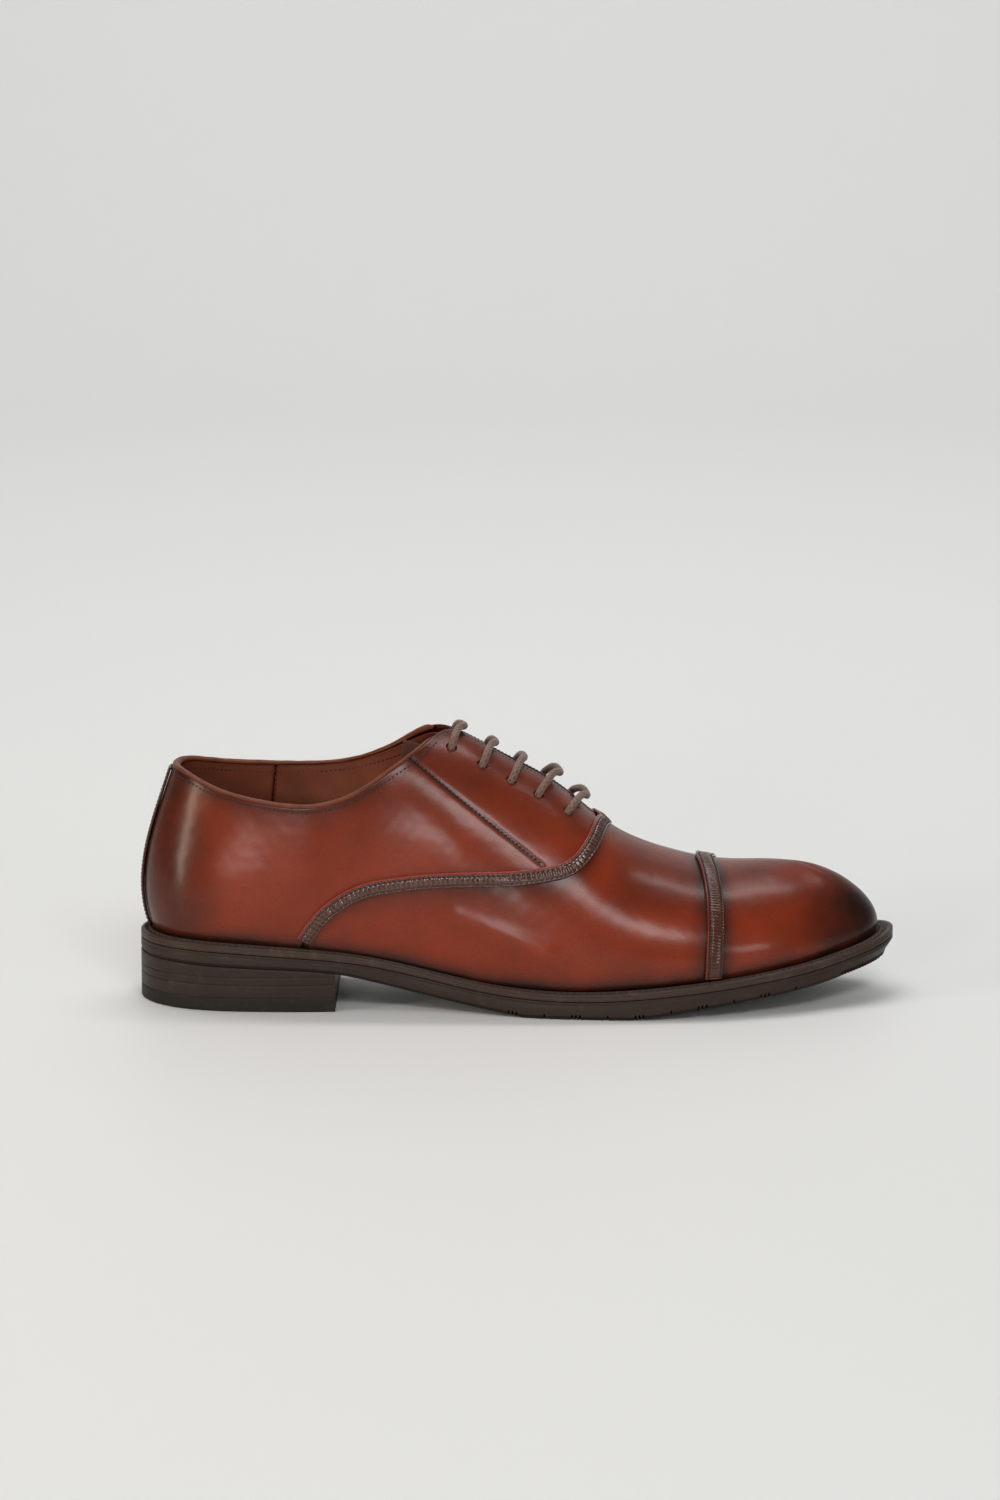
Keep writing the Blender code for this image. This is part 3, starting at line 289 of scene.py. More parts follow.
def normal(w, t):
    """Outward normal, shared by the two sides where they meet on the ridge."""
    n = side_normal(w, t)
    shared = (t > 0.999) & (np.abs(w) > PLACES[FACING_TOP + 1])
    both = unit(n + side_normal(-w, t))
    return np.where(shared[..., None], both, n)


def skin(w, t, depth=0.0):
    w, t, depth = np.broadcast_arrays(*(np.asarray(v, float) for v in (w, t, depth)))
    return base(w, t) + depth[..., None] * normal(w, t)


def find_w(x, t, side):
    """w of the surface point at this x and t; side is +1 for the outer side and -1 for the inner."""
    x, t = np.broadcast_arrays(np.asarray(x, float), np.asarray(t, float))
    low, high = np.zeros(x.shape), np.ones(x.shape)
    for _ in range(30):
        middle = (low + high) / 2
        behind = base(side * middle, t)[..., 0] < x
        low, high = np.where(behind, middle, low), np.where(behind, high, middle)
    return side * (low + high) / 2


def locate(x, value, axis, side):
    """w and t of the surface point at x with this height (axis 2) or distance from the middle (axis 1)."""
    x, value = np.broadcast_arrays(np.asarray(x, float), np.asarray(value, float))
    low, high = np.zeros(x.shape), np.ones(x.shape)
    for _ in range(26):
        t = (low + high) / 2
        p = base(find_w(x, t, side), t)
        under = p[..., 2] < value if axis == 2 else np.abs(p[..., 1]) > value
        low, high = np.where(under, t, low), np.where(under, high, t)
    t = (low + high) / 2
    return find_w(x, t, side), t


def seam_curve(side):
    """(w, t) of the vamp seam as functions of s, from 0 at the sole to 1 on the ridge at the throat."""
    chord = np.append(0, np.cumsum([math.dist(a, b) for a, b in zip(SEAM, SEAM[1:])]))
    x_along, z_along = (natural_spline(list(zip(chord, v))) for v in zip(*SEAM))
    steps = np.linspace(0, chord[-1], SEAM_STEPS)
    w, t = locate(x_along(steps), z_along(steps), 2, side)
    w, t = np.append(w, find_w(THROAT_X, 1.0, side)), np.append(t, 1.0)
    t[0] = 0.0
    w[0] = find_w(SEAM[0][0], 0.0, side)
    s = length_along(base(w, t))
    s /= s[-1]
    return natural_spline(list(zip(s, w))), natural_spline(list(zip(s, t)))


SEAMS = {side: seam_curve(side) for side in (1, -1)}


def seam_t(w, side, shift_w, shift_t):
    """t of the vamp seam above or below w, moved by half the gap between the pieces."""
    s = np.linspace(0, 1, 241)
    curve_w, curve_t = SEAMS[side]
    order = np.abs(curve_w(s))
    return np.interp(np.abs(w) + shift_w, order, np.clip(curve_t(s), 0, 1)) + shift_t


# ---------------------------------------------------------------- sizes of the fine detail

TURN_X, TURN_REACH, TURN_W = -83.0, 18.0, 0.026  # a quick turn of the side, softened over this much x and w
PITCH = 0.9  # leather grid
EDGE_ROLL = 0.55  # how far a cut edge rolls over
EDGE_STEPS = (0.0, 0.12, 0.32, 0.7, 1.3)  # rows of points beside an edge
BAND_PITCH, BAND_STITCH = 2.0, 1.3  # stitch spacing and stitch length
BAND_ROWS = 1.75  # from the band's middle to each stitch row
TRIM_PITCH, TRIM_STITCH = 1.3, 0.95
EDGE_BEAD_R = 0.5
VAMP_FOLD = ((-30.0, 41.0), (16.0, 24.0))  # x, z of both ends of the soft swell beside the vamp
FOLD_RISE, FOLD_HALF = 1.2, 5.0
FACING_LINE_X = (-43.5, 10.2)  # both ends of the facing's stitch line
FACING_LINE_TOP, FACING_LINE_DROP = 101.8, 41.5  # z where it starts, and how far it falls
SIDE_HEIGHT = 62.0  # about how far the upper reaches up its side, along the leather
NOTCH_X = (-2.0, 118.0)  # stretch of the outsole's edge that is notched
NOTCH_STEP, NOTCH_HALF, NOTCH_GAP, NOTCH_DEEP = 12.6, 0.24, 1.6, 2.4
TEETH_X, TEETH_PITCH = (130.5, 149.5), 1.35


# ---------------------------------------------------------------- mesh helpers

def ripple(points, wavelength, seed):
    """A smooth, repeatable unevenness between about -1 and 1, from a few crossing waves."""
    draw = np.random.default_rng(seed)
    total = 0.0
    for _ in range(7):
        direction = draw.normal(size=3)
        direction /= np.linalg.norm(direction)
        size = 2 * math.pi / (wavelength * draw.uniform(0.6, 1.6))
        total = total + np.sin(points @ direction * size + draw.uniform(0, 2 * math.pi))
    return total / 3.2


def rolled(distance, radius=EDGE_ROLL):
    """How far a rounded edge drops at this distance from it."""
    inside = np.clip(1 - distance / radius, 0, 1)
    return radius * (1 - np.sqrt(np.clip(1 - inside ** 2, 0, 1)))


def graded(length, pitch=PITCH):
    """Shares from 0 to 1 along a stretch: fine steps at both ends and even ones between."""
    near = np.array(EDGE_STEPS) / length
    middle = np.linspace(near[-1], 1 - near[-1], max(3, int(length / pitch)))
    return np.concatenate([near[:-1], middle, 1 - near[-2::-1]])


def even(length, pitch=PITCH):
    return np.linspace(0, 1, max(3, int(round(length / pitch)) + 1))


def edge_distance(points, sides):
    """Distance from each point of a grid to the nearest of the named sides."""
    nearest = np.full(points.shape[:2], 99.0)
    for axis, first, last in ((0, "first", "last"), (1, "low", "high")):
        step = np.linalg.norm(np.diff(points, axis=axis), axis=-1)
        zero = np.zeros_like(np.take(step, [0], axis))
        along = np.concatenate([zero, np.cumsum(step, axis)], axis)
        if first in sides:
            nearest = np.minimum(nearest, along)
        if last in sides:
            nearest = np.minimum(nearest, np.take(along, [-1], axis) - along)
    return nearest


def grid_quads(rows, cols, offset=0):
    i, j = np.meshgrid(np.arange(rows - 1), np.arange(cols - 1), indexing="ij")
    corner = offset + i * cols + j
    return np.stack([corner, corner + cols, corner + cols + 1, corner + 1], -1).reshape(-1, 4)


def loop_quads(rings, size, offset=0, ring_closed=False):
    """Quads of rings of points joined one after another into a tube."""
    count = rings if ring_closed else rings - 1
    i, j = np.meshgrid(np.arange(count), np.arange(size), indexing="ij")
    here, there = offset + i * size, offset + (i + 1) % rings * size
    following = (j + 1) % size
    return np.stack([here + j, here + following, there + following, there + j], -1).reshape(-1, 4)


def tube_faces(rings, size):
    """Faces of a tube of rings of points, closed at both ends."""
    ends = [list(range(size)), [(rings - 1) * size + k for k in range(size)]]
    return loop_quads(rings, size).tolist() + ends


def round_loops(path, radius, side, up, angle):
    """Rings of points round a path, at these angles; radius has a row for each point of the path."""
    circle = np.cos(angle)[None, :, None] * side[:, None, :] + np.sin(angle)[None, :, None] * up[:, None, :]
    return path[:, None, :] + radius[..., None] * circle


def make_piece(name, points, faces, tone, finish, replaces=(), body="rear", outward=True,
               crease=35):
    """A piece of the shoe from points in millimetres; its rest place and its tone (burnishing, and painted
    shade in grooves, crevices and under edges) stay on its points.
    """
    points = np.asarray(points, float).reshape(-1, 3)
    mesh = bpy.data.meshes.new(name)
    mesh.from_pydata((points * MM).tolist(), [], [tuple(f) for f in faces])
    rest = mesh.attributes.new("rest", "FLOAT_VECTOR", "POINT")
    rest.data.foreach_set("vector", points.astype(np.float32).ravel())
    dark = mesh.attributes.new("tone", "FLOAT", "POINT")
    tone = np.broadcast_to(np.asarray(tone, np.float32).ravel(), (len(points),))
    dark.data.foreach_set("value", np.ascontiguousarray(tone))
    bm = bmesh.new()
    bm.from_mesh(mesh)
    bmesh.ops.remove_doubles(bm, verts=bm.verts, dist=2e-6)
    bmesh.ops.dissolve_degenerate(bm, dist=1e-7, edges=bm.edges)
    if outward:
        bmesh.ops.recalc_face_normals(bm, faces=bm.faces)
    bm.to_mesh(mesh)
    bm.free()
    mesh.shade_smooth()
    mesh.set_sharp_from_angle(angle=math.radians(crease))
    mesh.materials.append(finish)
    obj = bpy.data.objects.new(name, mesh)
    bpy.context.scene.collection.objects.link(obj)
    if replaces:
        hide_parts(*replaces)
    if body == "bend":
        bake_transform(obj)
    else:
        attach(obj, body)
    return obj


def make_sheet(name, patches, thickness, finish, body="rear", replaces=None):
    """A leather piece from patches of (points, tone), made one where they meet and thickened inwards."""
    points, tones, faces, count = [], [], [], 0
    for grid, tone in patches:
        faces.append(grid_quads(grid.shape[0], grid.shape[1], count))
        points.append(grid.reshape(-1, 3))
        tones.append(np.broadcast_to(tone, grid.shape[:2]).ravel())
        count += len(points[-1])
    obj = make_piece(name, np.concatenate(points), np.concatenate(faces), np.concatenate(tones), finish,
                     [name] if replaces is None else replaces, body, outward=False, crease=60)
    solidify = obj.modifiers.new("thickness", "SOLIDIFY")
    solidify.thickness = thickness * MM
    solidify.offset = -1
    solidify.use_quality_normals = True
    return obj


def ordered(side, *grids):
    """Grids with their columns in the order of rising w, so that their faces look outwards."""
    return [g if side > 0 else g[::-1] for g in grids]


# ---------------------------------------------------------------- burnishing, and darkening near edges, seams and grooves

def burnish_and_painted_shade(points):
    """How dark the polish is: the toe, the back of the heel and the line above the welt are darkest."""
    x, z = points[..., 0], points[..., 2]
    above = z - welt_top(x)
    patchy = 0.10 * ripple(points, 26.0, 3)
    welt_line = 0.75 * np.exp(-(above / 4.5) ** 2) + 0.25 * np.exp(-above / 14)
    high = smooth((z - 38) / 16)
    toe = np.maximum(0.95 * smooth((x - 100) / 40), 0.5 * smooth((x - 60) / 40) * high)
    heel = 0.80 * smooth((-108 - x) / 34)
    vamp = 0.42 * smooth((x - 26) / 26) * smooth((z - 34) / 12)
    collar = 0.42 * smooth((z - 50) / 40)
    return np.clip(np.maximum.reduce([welt_line, toe, heel, vamp, collar]) + patchy, 0, 1)


def shaded(tone, distance, reach, amount):
    """The tone, darkened near an edge or a seam at this distance."""
    return np.clip(np.maximum(tone, tone * 0.5 + amount * np.exp(-(distance / reach) ** 1.3)), 0, 1)


def softened_skin(w, t):
    """The surface, with the quick turn of its sides above the front of the heel averaged into a soft one."""
    flat = skin(w, t)
    from_turn = flat[..., :1] - TURN_X
    share = np.exp(-(from_turn / TURN_REACH) ** 2)
    shifts = np.linspace(-TURN_W, TURN_W, 9)
    averaged = np.average([skin(w + shift, t) for shift in shifts], axis=0, weights=np.hanning(11)[1:-1])
    return flat + share * (averaged - flat) * (np.abs(from_turn) < 2.5 * TURN_REACH)


def leather_surface(w, t, depth=0.0, open_sides=(), uneven=0.04, seed=1):
    """Points of a leather patch with soft unevenness and rolled edges, and how far they are from those."""
    flat = softened_skin(w, t)
    out = normal(*np.broadcast_arrays(w, t))
    distance = edge_distance(flat, open_sides)
    relief = uneven * ripple(flat, 17.0, seed) + 0.35 * uneven * ripple(flat, 5.5, seed + 1)
    height = depth + (relief - abs(uneven)) * smooth(distance / 2.5) - rolled(distance)
    return flat + height[..., None] * out, distance


# ---------------------------------------------------------------- threads

def resampled(points, pitch, margin=0.0):
    """Places every pitch along a path, the path's direction there, and how far along it they are."""
    length = length_along(points)
    at = np.arange(margin, length[-1] - margin, pitch)
    ahead, behind = read_along(at + 0.4, length, points), read_along(at - 0.4, length, points)
    return read_along(at, length, points), unit(ahead - behind), at / length[-1]


def stitch_points(path, normals, pitch, stitch, radius=0.24, slant=8.0, rise=0.10, margin=0.6):
    """Rings of points of each stitch along the path: short threads that dive in at both ends."""
    place, along, share = resampled(path, pitch, margin)
    length = length_along(path)
    up = read_along(share * length[-1], length, normals)
    up = unit(up - np.sum(up * along, 1, keepdims=True) * along)
    across = np.cross(up, along)
    turn = math.radians(slant)
    heading = math.cos(turn) * along + math.sin(turn) * across
    across = np.cross(up, heading)
    u = np.array([-1, -0.72, -0.25, 0.25, 0.72, 1.0])
    height = rise - 0.42 * np.abs(u) ** 3
    width = radius * (1 - 0.45 * np.abs(u) ** 4)
    angle = np.linspace(0, 2 * math.pi, 7)[:-1]
    ring = (place[:, None, None, :] + heading[:, None, None, :] * (u * stitch / 2)[None, :, None, None]
            + up[:, None, None, :] * (height[None, :, None] + width[None, :, None] * np.sin(angle))[..., None]
            + across[:, None, None, :] * (width[None, :, None] * np.cos(angle))[..., None])
    return ring


def make_stitches(name, rows, finish, body="rear"):
    """One piece for the stitches of a seam; rows are arrays of rings from stitch_points."""
    points, faces, count = [], [], 0
    for rings in rows:
        stitches, sections, sides, _ = rings.shape
        tube = loop_quads(sections, sides)
        starts = count + np.arange(stitches) * sections * sides
        faces += (starts[:, None, None] + tube[None]).reshape(-1, 4).tolist()
        ends = np.array([list(range(sides))[::-1], [(sections - 1) * sides + k for k in range(sides)]])
        faces += (starts[:, None, None] + ends[None]).reshape(-1, sides).tolist()
        points.append(rings.reshape(-1, 3))
        count += rings.size // 3
    return make_piece(name, np.concatenate(points), faces, 0.0, finish, body=body, outward=False, crease=80)


# ---------------------------------------------------------------- materials

def socket(shader, name, value):
    shader.inputs[name].default_value = value


class Nodes:
    """Short ways to add nodes to a material."""

    def __init__(self, name):
        self.material = bpy.data.materials.new(name)
        self.material.use_nodes = True
        self.tree = self.material.node_tree
        self.shader = self.tree.nodes["Principled BSDF"]

    def add(self, kind, **settings):
        node = self.tree.nodes.new(kind)
        for key, value in settings.items():
            setattr(node, key, value)
        return node

    def join(self, source, target):
        self.tree.links.new(source, target)

    def place(self, on_cad):
        """Coordinates in millimetres that stay with the surface."""
        if not on_cad:
            return self.add("ShaderNodeAttribute", attribute_name="rest").outputs["Vector"]
        scale = self.add("ShaderNodeVectorMath", operation="SCALE")
        scale.inputs["Scale"].default_value = 1000.0
        self.join(self.add("ShaderNodeTexCoord").outputs["Object"], scale.inputs[0])
        return scale.outputs[0]

    def burnish_and_painted_shade(self):
        """The darkening that make_piece stored on the points: burnishing, and painted shade in grooves,
        crevices and under edges.
        """
        return self.add("ShaderNodeAttribute", attribute_name="tone").outputs["Fac"]

    def noise(self, where, size, detail=2.0, stretch=None, roughness=0.5):
        """Noise whose features are about this many millimetres across."""
        if stretch is not None:
            scaled = self.add("ShaderNodeVectorMath", operation="MULTIPLY")
            scaled.inputs[1].default_value = stretch
            self.join(where, scaled.inputs[0])
            where = scaled.outputs[0]
        node = self.add("ShaderNodeTexNoise")
        node.inputs["Scale"].default_value = 1.0 / size
        node.inputs["Detail"].default_value = detail
        node.inputs["Roughness"].default_value = roughness
        self.join(where, node.inputs["Vector"])
        return node.outputs["Fac"]

    def cells(self, where, size, feature="F1"):
        node = self.add("ShaderNodeTexVoronoi", feature=feature)
        node.inputs["Scale"].default_value = 1.0 / size
        self.join(where, node.inputs["Vector"])
        return node.outputs["Distance"]

    def math(self, operation, a, b=None, clamp=False):
        node = self.add("ShaderNodeMath", operation=operation, use_clamp=clamp)
        for value, target in ((a, node.inputs[0]), (b, node.inputs[1])):
            if value is None:
                continue
            if isinstance(value, (int, float)):
                target.default_value = value
            else:
                self.join(value, target)
        return node.outputs[0]

    def ramp(self, value, low, high, out_low=0.0, out_high=1.0):
        node = self.add("ShaderNodeMapRange", interpolation_type="SMOOTHSTEP")
        for name, number in (("From Min", low), ("From Max", high), ("To Min", out_low),
                             ("To Max", out_high)):
            node.inputs[name].default_value = number
        self.join(value, node.inputs["Value"])
        return node.outputs["Result"]

    def mix(self, share, a, b):
        node = self.add("ShaderNodeMix", data_type="RGBA")
        colour_a, colour_b = [i for i in node.inputs if i.type == "RGBA"][:2]
        factor = [i for i in node.inputs if i.type == "VALUE"][0]
        for value, target in ((share, factor), (a, colour_a), (b, colour_b)):
            if isinstance(value, (int, float)):
                target.default_value = value
            elif isinstance(value, tuple):
                target.default_value = (*value, 1.0)
            else:
                self.join(value, target)
        return [o for o in node.outputs if o.type == "RGBA"][0]

    def bump(self, height, depth, before=None, strength=1.0):
        """A bump whose height of 1 stands this many millimetres high."""
        node = self.add("ShaderNodeBump")
        node.inputs["Strength"].default_value = strength
        node.inputs["Distance"].default_value = depth * MM
        self.join(height, node.inputs["Height"])
        if before is not None:
            self.join(before, node.inputs["Normal"])
        return node.outputs["Normal"]


def leather(name, light, dark, grain=0.62, grain_depth=0.085, rough=0.38, coat=0.46, coat_rough=0.24,
            crease_depth=0.07, on_cad=False, spread=0.35):
    """Polished leather: pebbled grain, soft creases, and dye that darkens where it is burnished and with the
    painted shade stored in the tone.
    """
    n = Nodes(name)
    where = n.place(on_cad)
    blotch = n.noise(where, 11.0, 3.0)
    fine = n.noise(where, 0.9, 2.0)
    tone = n.burnish_and_painted_shade()
    tone = n.math("ADD", tone, n.math("MULTIPLY", n.math("SUBTRACT", blotch, 0.5), spread), clamp=True)
    tone = n.math("ADD", tone, n.math("MULTIPLY", n.math("SUBTRACT", fine, 0.5), 0.16), clamp=True)
    pores = n.ramp(n.cells(where, grain), 0.10, 0.42)
    base_colour = n.mix(tone, light, dark)
    pore_colour = n.mix(tone, tuple(0.45 * c for c in light), tuple(0.55 * c for c in dark))
    n.join(n.mix(n.math("MULTIPLY", pores, 0.30), base_colour, pore_colour), n.shader.inputs["Base Color"])
    gloss = n.math("ADD", n.math("MULTIPLY", blotch, 0.16), n.math("MULTIPLY", fine, 0.10))
    n.join(n.math("ADD", gloss, rough - 0.13), n.shader.inputs["Roughness"])
    creases = n.noise(where, 3.2, 2.0, roughness=0.6)
    normal_out = n.bump(creases, crease_depth)
    normal_out = n.bump(n.math("MULTIPLY", n.cells(where, grain, "SMOOTH_F1"), -1.0), grain_depth, normal_out)
    n.join(normal_out, n.shader.inputs["Normal"])
    socket(n.shader, "Coat Weight", coat)
    socket(n.shader, "Coat Roughness", coat_rough)
    socket(n.shader, "Specular IOR Level", 0.08)
    return n.material


def rubber(name, colour, worn, rough=0.55, streak=(1, 1, 1), grain=0.5, grain_depth=0.03):
    """Moulded or ground edge: fine streaks, scuffs and a dull polish."""
    n = Nodes(name)
    where = n.place(False)
    streaks = n.noise(where, grain, 3.0, stretch=streak, roughness=0.65)
    scuffs = n.noise(where, 7.0, 4.0, roughness=0.7)
    tone = n.burnish_and_painted_shade()
    scuffed, streaked = n.ramp(scuffs, 0.52, 0.72, 0.0, 0.55), n.ramp(streaks, 0.5, 0.75, 0.0, 0.4)
    share = n.math("ADD", scuffed, streaked, clamp=True)
    body = n.mix(share, colour, worn)
    # the stored tone darkens the colour: painted shade in the outsole's notches and tucked-in bottom lip, and
    # in the welt's gap and groove
    n.join(n.mix(tone, body, tuple(0.18 * c for c in colour)), n.shader.inputs["Base Color"])
    n.join(n.math("ADD", n.math("MULTIPLY", streaks, 0.2), rough - 0.1), n.shader.inputs["Roughness"])
    n.join(n.bump(streaks, grain_depth), n.shader.inputs["Normal"])
    socket(n.shader, "Specular IOR Level", 0.14)
    socket(n.shader, "Coat Weight", 0.08)
    socket(n.shader, "Coat Roughness", 0.3)
    return n.material


def thread(name, colour, rough=0.55):
    """Waxed thread, twisted: fine slanting strands."""
    n = Nodes(name)
    where = n.place(False)
    strands = n.noise(where, 0.28, 1.0, stretch=(1.0, 1.0, 0.4))
    n.join(n.mix(n.ramp(strands, 0.35, 0.65), tuple(0.6 * c for c in colour), tuple(1.5 * c for c in colour)),
           n.shader.inputs["Base Color"])
    n.join(n.bump(strands, 0.04), n.shader.inputs["Normal"])
    n.join(n.math("ADD", n.math("MULTIPLY", strands, 0.2), rough - 0.1), n.shader.inputs["Roughness"])
    return n.material


def metal(name, colour, rough, streak):
    """Plated or sprung metal with drawing marks and dull spots."""
    n = Nodes(name)
    where = n.place(True)
    marks = n.noise(where, 0.5, 3.0, stretch=streak)
    spots = n.ramp(n.noise(where, 1.6, 2.0), 0.5, 0.8)
    n.join(n.mix(spots, colour, tuple(0.6 * c for c in colour)), n.shader.inputs["Base Color"])
    n.join(n.math("ADD", n.math("MULTIPLY", marks, 0.25), rough), n.shader.inputs["Roughness"])
    n.join(n.bump(marks, 0.02), n.shader.inputs["Normal"])
    socket(n.shader, "Metallic", 1.0)
    return n.material


def board(name, light, dark, size, depth, on_cad=False):
    """Fibre board, felt or granular cork: flecks of two colours and a rough face."""
    n = Nodes(name)
    where = n.place(on_cad)
    flecks = n.cells(where, size)
    fibres = n.noise(where, size * 0.5, 4.0, roughness=0.7)
    n.join(n.mix(n.ramp(n.math("ADD", flecks, n.math("MULTIPLY", fibres, 0.6)), 0.3, 1.0), light, dark),
           n.shader.inputs["Base Color"])
    n.join(n.bump(n.math("ADD", flecks, fibres), depth), n.shader.inputs["Normal"])
    n.join(n.math("ADD", n.math("MULTIPLY", fibres, 0.1), 0.82), n.shader.inputs["Roughness"])
    return n.material


UPPER_LIGHT, UPPER_DARK = (0.265, 0.032, 0.007), (0.022, 0.006, 0.003)
UPPER = leather("burnished_calf", UPPER_LIGHT, UPPER_DARK)
TRIM = leather("trim_calf", (0.105, 0.032, 0.016), (0.020, 0.008, 0.005), grain=0.5, rough=0.34, coat=0.6,
               coat_rough=0.14, crease_depth=0.04)
BAND = leather("band_calf", (0.125, 0.044, 0.026), (0.018, 0.008, 0.005), grain=0.5, rough=0.34, coat=1.0,
               coat_rough=0.12, crease_depth=0.03)
# the tongue is drawn mostly in its dark colour (tone 0.8): painted shade for its place down in the throat
TONGUE = leather("tongue_calf", (0.14, 0.026, 0.011), (0.045, 0.013, 0.007), rough=0.6, coat=0.0)
BEAD = leather("folded_edge", (0.30, 0.030, 0.014), (0.10, 0.016, 0.009), rough=0.34, coat=0.5,
               crease_depth=0.03)
EDGE = leather("rolled_edge", (0.20, 0.050, 0.019), (0.07, 0.019, 0.009), rough=0.45, coat=0.2,
               crease_depth=0.06)
LINING = leather("lining_leather", (0.230, 0.062, 0.030), (0.100, 0.026, 0.014), grain=0.5, grain_depth=0.03,
                 rough=0.60, coat=0.08, coat_rough=0.5, crease_depth=0.12)
WELT_LEATHER = rubber("welt_leather", (0.048, 0.029, 0.021), (0.095, 0.066, 0.050), rough=0.42,
                      streak=(1, 1, 6), grain=0.8)
SOLE = rubber("sole_rubber", (0.033, 0.020, 0.014), (0.060, 0.039, 0.029), rough=0.5,
              streak=(1, 1, 5), grain=1.1)
LIFT = rubber("heel_lift_edge", (0.031, 0.019, 0.014), (0.058, 0.038, 0.028), rough=0.48,
              streak=(0.25, 0.25, 7), grain=1.3, grain_depth=0.05)
TOP_PIECE = rubber("top_piece_rubber", (0.020, 0.014, 0.011), (0.045, 0.033, 0.027), rough=0.62,
                   streak=(0.6, 0.6, 3), grain=0.9)
SEAM_THREAD = thread("seam_thread", (0.022, 0.009, 0.007))
WELT_THREAD = thread("welt_thread", (0.055, 0.036, 0.026))
RED_THREAD = thread("red_thread", (0.11, 0.014, 0.012))
CORK_FILL = board("cork_granules", (0.33, 0.19, 0.10), (0.12, 0.06, 0.03), 1.8, 0.25)
INSOLE_BOARD = board("insole_leather_board", (0.34, 0.22, 0.13), (0.20, 0.12, 0.07), 0.9, 0.08)
STEEL = metal("spring_steel", (0.46, 0.46, 0.48), 0.28, (0.1, 1, 1))
BRASS = metal("eyelet_brass_plate", (0.58, 0.44, 0.22), 0.25, (1, 1, 1))
STIFFENER = board("stiffener_fibre", (0.52, 0.47, 0.39), (0.36, 0.31, 0.25), 0.8, 0.06, on_cad=True)
COUNTER = board("counter_board", (0.27, 0.19, 0.12), (0.15, 0.10, 0.06), 0.9, 0.06, on_cad=True)
SEAT = board("seat_board", (0.24, 0.15, 0.09), (0.13, 0.08, 0.05), 1.1, 0.10, on_cad=True)


# ---------------------------------------------------------------- outsole, heel and inner soles

def plan_point(w, margin):
    w = np.asarray(w, float)
    return last_loop(w)[..., :2] + np.broadcast_to(margin, w.shape)[..., None] * plan_out(w)


def sole_line(w, out=0.0):
    return plan_point(w, sole_margin(last_loop(w)[..., 0]) + out)


DENSE_W = np.linspace(0, 1, 3001)
DENSE_EDGE = sole_line(DENSE_W)
DENSE_LENGTH = length_along(DENSE_EDGE)


def w_at_length(length):
    return np.interp(length, DENSE_LENGTH, DENSE_W)


def w_at_x(x):
    return np.interp(x, np.maximum.accumulate(DENSE_EDGE[:, 0]), DENSE_W)


def feather_w(x):
    return float(find_w(x, 0.0, 1))


def wall_slab(name, places, edge, levels, top, bottom, finish, body="rear", lanes=14,
              notch=None, tread=None, undercut=None):
    """A slab across the shoe, with a shaped wall.

    levels are (from the top face or not, mm from that face, outward offset, share of the notches' depth).
    """
    places = np.asarray(places, float)
    notch = np.zeros(len(places)) if notch is None else notch
    tread = np.zeros(len(places)) if tread is None else tread
    sides = []
    for side in (1, -1):
        plan = edge(side * places, 0.0)
        high, low = top(plan[:, 0]), bottom(plan[:, 0])
        column = []
        for from_top, drop, offset, cut in levels:
            z = high - drop if from_top else low + drop
            tucked = 0.0 if from_top or undercut is None else undercut(plan[:, 0])
            out = edge(side * places, offset - tucked)
            inward = edge(side * places, offset - tucked - 1.0)
            xy = out + (inward - out) * (cut * notch)[:, None]
            column.append(np.column_stack([xy, z]))
        sides.append(np.stack(column, 1))
    outer, inner = sides
    share = np.linspace(0, 1, lanes)[None, 1:-1, None]
    base_lane = outer[:, -1:, :] + (inner[:, -1:, :] - outer[:, -1:, :]) * share
    base_lane[..., 2] += tread[:, None]
    top_share = np.linspace(0, 1, 5)[None, 1:-1, None]
    top_lane = inner[:, :1, :] + (outer[:, :1, :] - inner[:, :1, :]) * top_share
    loops = np.concatenate([outer, base_lane, inner[:, ::-1], top_lane], 1)
    n, m = loops.shape[:2]
    faces = loop_quads(n, m).tolist()
    for i in (0, n - 1):
        if 0 < places[i] < 1:
            faces.append([i * m + k for k in range(m)])
    # painted shade: on a notched wall, the tucked-in bottom lip and the notches cut into it are darkened
    rise = loops[..., 2] - bottom(loops[..., 0])
    tone = 0.7 * (rise < 1.3) if notch.any() else np.zeros_like(rise)
    tone = np.maximum(tone, (notch > 0.3)[:, None] * (rise < 1.8))
    return make_piece(name, loops, faces, tone, finish, [name], body)


def sole_stations():
    """Even places round the shoe, closer together at the two ends."""
    total = DENSE_LENGTH[-1]
    near = np.linspace(0, 10, 12)
    at = np.concatenate([near, np.linspace(10, total - 10, 230), total - near[::-1]])
    return np.unique(np.round(w_at_length(at), 6))


def outsole_low(x):
    return np.maximum(outsole_curve(x), 0.0)


def outsole_high(x):
    return welt_top(x) - WELT_THICK - GAP


OUTSOLE_LEVELS = [(True, 0.0, -0.35, 0), (True, 0.12, -0.10, 0), (True, 0.4, 0.0, 0), (True, 1.0, -0.04, 0),
                  (True, 1.25, -0.14, 0), (True, 1.5, -0.03, 0), (False, 1.95, 0.0, 0),
                  (False, 1.75, 0.0, 1.0), (False, 1.35, 0.0, 1.0), (False, 1.2, -0.30, 1.0),
                  (False, 0.4, -0.35, 1.0), (False, 0.12, -0.5, 1.0), (False, 0.0, -0.9, 0.9)]


def toe_undercut(x):
    """How far the outsole's wall leans in at its bottom, round the toe."""
    return 3.0 * smooth((x - 118) / 30)


